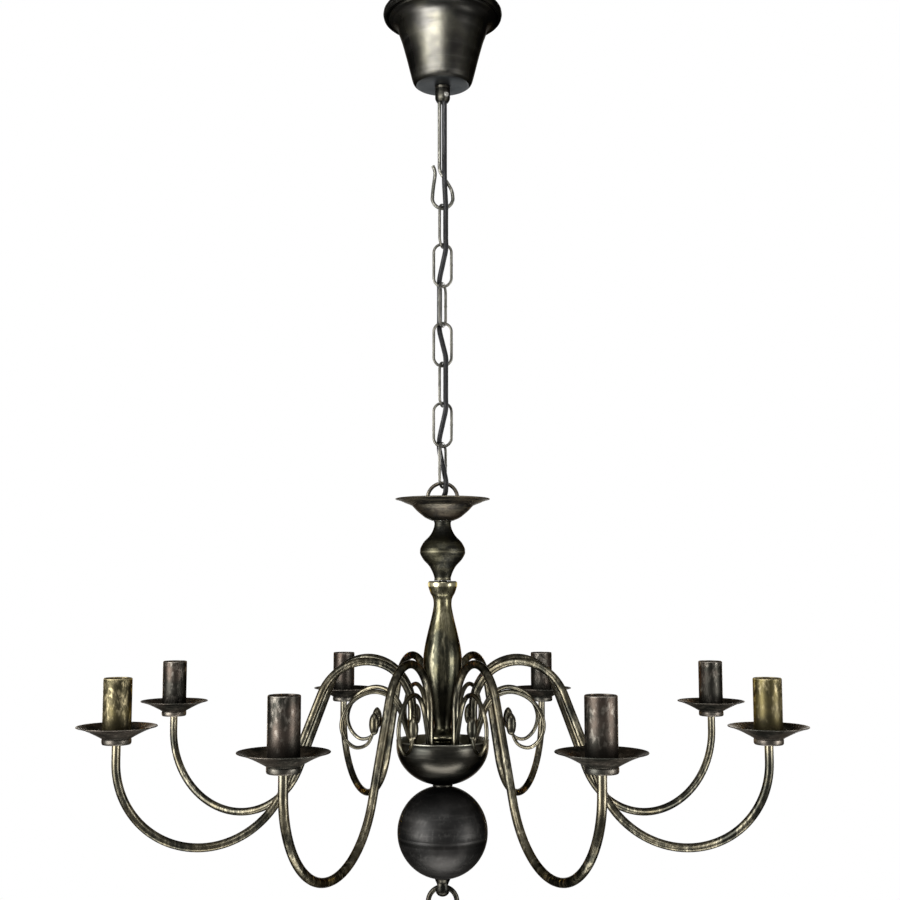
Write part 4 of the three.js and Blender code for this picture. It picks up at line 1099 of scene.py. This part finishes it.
def on_arms(piece, name, reach=0.0):
    """Makes a copy for every arm and removes the first piece. Gives each number and copy."""
    copies = []
    for number in range(1, ARMS + 1):
        twin = piece.copy()
        twin.data = piece.data.copy()
        twin.name = f"{name}_{number}"
        bpy.context.scene.collection.objects.link(twin)
        twin.data.transform(out_on_arm(number, reach))
        copies.append((number, twin))
    bpy.data.objects.remove(piece)
    return copies


arm_paint = patina("arm_patina", (0.010, 0.010, 0.008), (0.030, 0.026, 0.017), (0.26, 0.235, 0.17),
                   brush=(1, 1, 0.2), worn=0.34, flecks=0.12, edges=0.2, rough=0.31)
for number, piece in on_arms(arm, "arm_tube"):
    fitted(piece, arm_paint, f"arm_{number}")

# Each drip cup is a shallow spun dish on a short turned foot, screwed down on the spigot by
# the lamp holder. It catches wax in the candle lamps that this one copies.
CUP_FOOT = ((3.3, 0), (12.4, 0), (13.0, 0.5), (13.4, 1.6), (13.4, 4.6), (12.9, 5.2))
CUP_UNDER = ((14.9, 6.4), (18.0, 8.1), (23.6, 11.0), (29.4, 13.5), (34.2, 15.1), (35.9, 15.5))
CUP_RIM = ((36.4, 15.7), (36.5, 16.1), (36.2, 16.4), (35.6, 16.4))
CUP_OVER = ((34.6, 16.2), (29.2, 14.6), (23.5, 12.2), (18.4, 9.4), (15.6, 7.9), (14.3, 7.3))
CUP_WELL = ((12.2, 7.3), (12.2, 1.2), (3.3, 1.2))

cup_section = [*CUP_FOOT, *eased(*CUP_UNDER), *CUP_RIM, *eased(*CUP_OVER), *CUP_WELL]
cup = turned("cup_spinning", [(radius, cup_foot + height) for radius, height in cup_section], 80)
smoothed(cup, 0.15)
cup_paint = patina("cup_patina", (0.014, 0.014, 0.012), (0.036, 0.031, 0.026), (0.16, 0.145, 0.12),
                   brush=(0.5, 0.5, 1), worn=0.30, flecks=0.15, edges=0.15, rough=0.42)
for number, piece in on_arms(cup, "cup_dish", ARM_REACH):
    fitted(piece, cup_paint, f"drip_cup_{number}")

# Each lamp holder is black moulded plastic, a little dusty, with a pressed brass screw shell in
# its bore and a contact at the bottom of it. It takes the small screw cap of a candle lamp.
HOLDER_RADIUS = 11.4
HOLDER_STEM = 8.0
BORE_RADIUS = 7.3
BORE_DEPTH = 28.0
THREAD_PITCH = 2.8
THREAD_DEPTH = 0.45
THREAD_STEPS = 60
THREAD_STEP = 0.4
THREAD_DROP = 2.5

holder_foot, holder_head = heights("lamp_holder_1")
bore_floor = holder_head - BORE_DEPTH
spigot_top = cup_foot + SPIGOT_LENGTH + GAP
thread = []
for step in range(1, THREAD_STEPS):
    wave = cos(2 * pi * step * THREAD_STEP / THREAD_PITCH)
    thread.append((BORE_RADIUS + THREAD_DEPTH * wave, holder_head - THREAD_DROP - step * THREAD_STEP))
holder = turned("holder_moulding", [
    (0, spigot_top), (3.3, spigot_top), (3.3, holder_foot), (HOLDER_STEM, holder_foot),
    (HOLDER_STEM, holder_foot + 13), (HOLDER_RADIUS, holder_foot + 16), (HOLDER_RADIUS, holder_head - 7),
    (HOLDER_RADIUS - 0.5, holder_head - 6.6), (HOLDER_RADIUS - 0.5, holder_head - 0.8),
    (HOLDER_RADIUS - 1.2, holder_head), (BORE_RADIUS + 1.0, holder_head),
    (BORE_RADIUS + 0.8, holder_head - 1.6), *thread, (BORE_RADIUS - 0.3, bore_floor + 1.2),
    (3.0, bore_floor + 1.2), (2.4, bore_floor + 2.6), (0, bore_floor + 3.0),
], 48)
smoothed(holder)
black_plastic = mottled("holder_plastic", (300, 4, 0.4, 0.75), (0.012, 0.012, 0.012),
                        (0.035, 0.033, 0.030), gloss=(80, 0.3, 0.25), grain=(1200, 0.15, 0.0001))
brass = mottled("shell_brass", (260, 4, 0.4, 0.7), (0.72, 0.55, 0.26), (0.40, 0.29, 0.13),
                gloss=0.32, grain=(800, 0.1, 0.0001), metal=1.0)


def in_bore(face, axis):
    """Says whether a holder's face lies in its bore, round the holder's own axis."""
    across = (face.center.xy - axis.xy).length / MM
    return across < BORE_RADIUS + 0.9 and face.center.z / MM > bore_floor


for number, piece in on_arms(holder, "holder_body", ARM_REACH):
    fitted(piece, black_plastic, f"lamp_holder_{number}")
    axis = out_on_arm(number, ARM_REACH).translation
    second_paint(piece, brass, lambda face: in_bore(face, axis))

# Each candle sleeve is a thin brass tube, its top edge turned in, that slides down over the
# holder on to the cup. The two sleeves at the front sides have a more golden patina.
SLEEVE_RADIUS = 13.0
SLEEVE_WALL = 0.9
GOLDEN_SLEEVES = (2, 7)

sleeve_foot, sleeve_head = heights("candle_sleeve_1")
sleeve = turned("sleeve_tube", [
    (SLEEVE_RADIUS - SLEEVE_WALL, sleeve_foot),
    (SLEEVE_RADIUS - 0.2, sleeve_foot),
    (SLEEVE_RADIUS, sleeve_foot + 0.3),
    (SLEEVE_RADIUS, sleeve_head - 1.4),
    *eased((SLEEVE_RADIUS - 0.06, sleeve_head - 0.9), (SLEEVE_RADIUS - 0.3, sleeve_head - 0.35),
           (SLEEVE_RADIUS - 0.8, sleeve_head)),
    (SLEEVE_RADIUS - 1.3, sleeve_head - 0.1),
    (SLEEVE_RADIUS - 1.3, sleeve_head - 0.8),
    (SLEEVE_RADIUS - SLEEVE_WALL, sleeve_head - 1.3),
], 80)
smoothed(sleeve)
# The lighter band at the turned-in top edge is partly rubbed brass and partly painted highlight.
dark_sleeve_paint = patina("sleeve_patina_dark", (0.006, 0.006, 0.005), (0.020, 0.015, 0.012),
                           (0.075, 0.068, 0.058), brush=(1, 1, 0.3), worn=0.5, flecks=0.6, rough=0.42,
                           rubbed_and_highlight_bands=((sleeve_head - 0.5, 1.1, 0.8),))
golden_sleeve_paint = patina("sleeve_patina_golden", (0.010, 0.009, 0.005), (0.034, 0.028, 0.011),
                             (0.13, 0.11, 0.065), brush=(1, 1, 0.4), worn=0.6, flecks=0.7, rough=0.44,
                             rubbed_and_highlight_bands=((sleeve_head - 0.5, 1.1, 0.9),))
for number, piece in on_arms(sleeve, "sleeve_tube", ARM_REACH):
    paint = golden_sleeve_paint if number in GOLDEN_SLEEVES else dark_sleeve_paint
    fitted(piece, paint, f"candle_sleeve_{number}", f"sleeve_{number}")
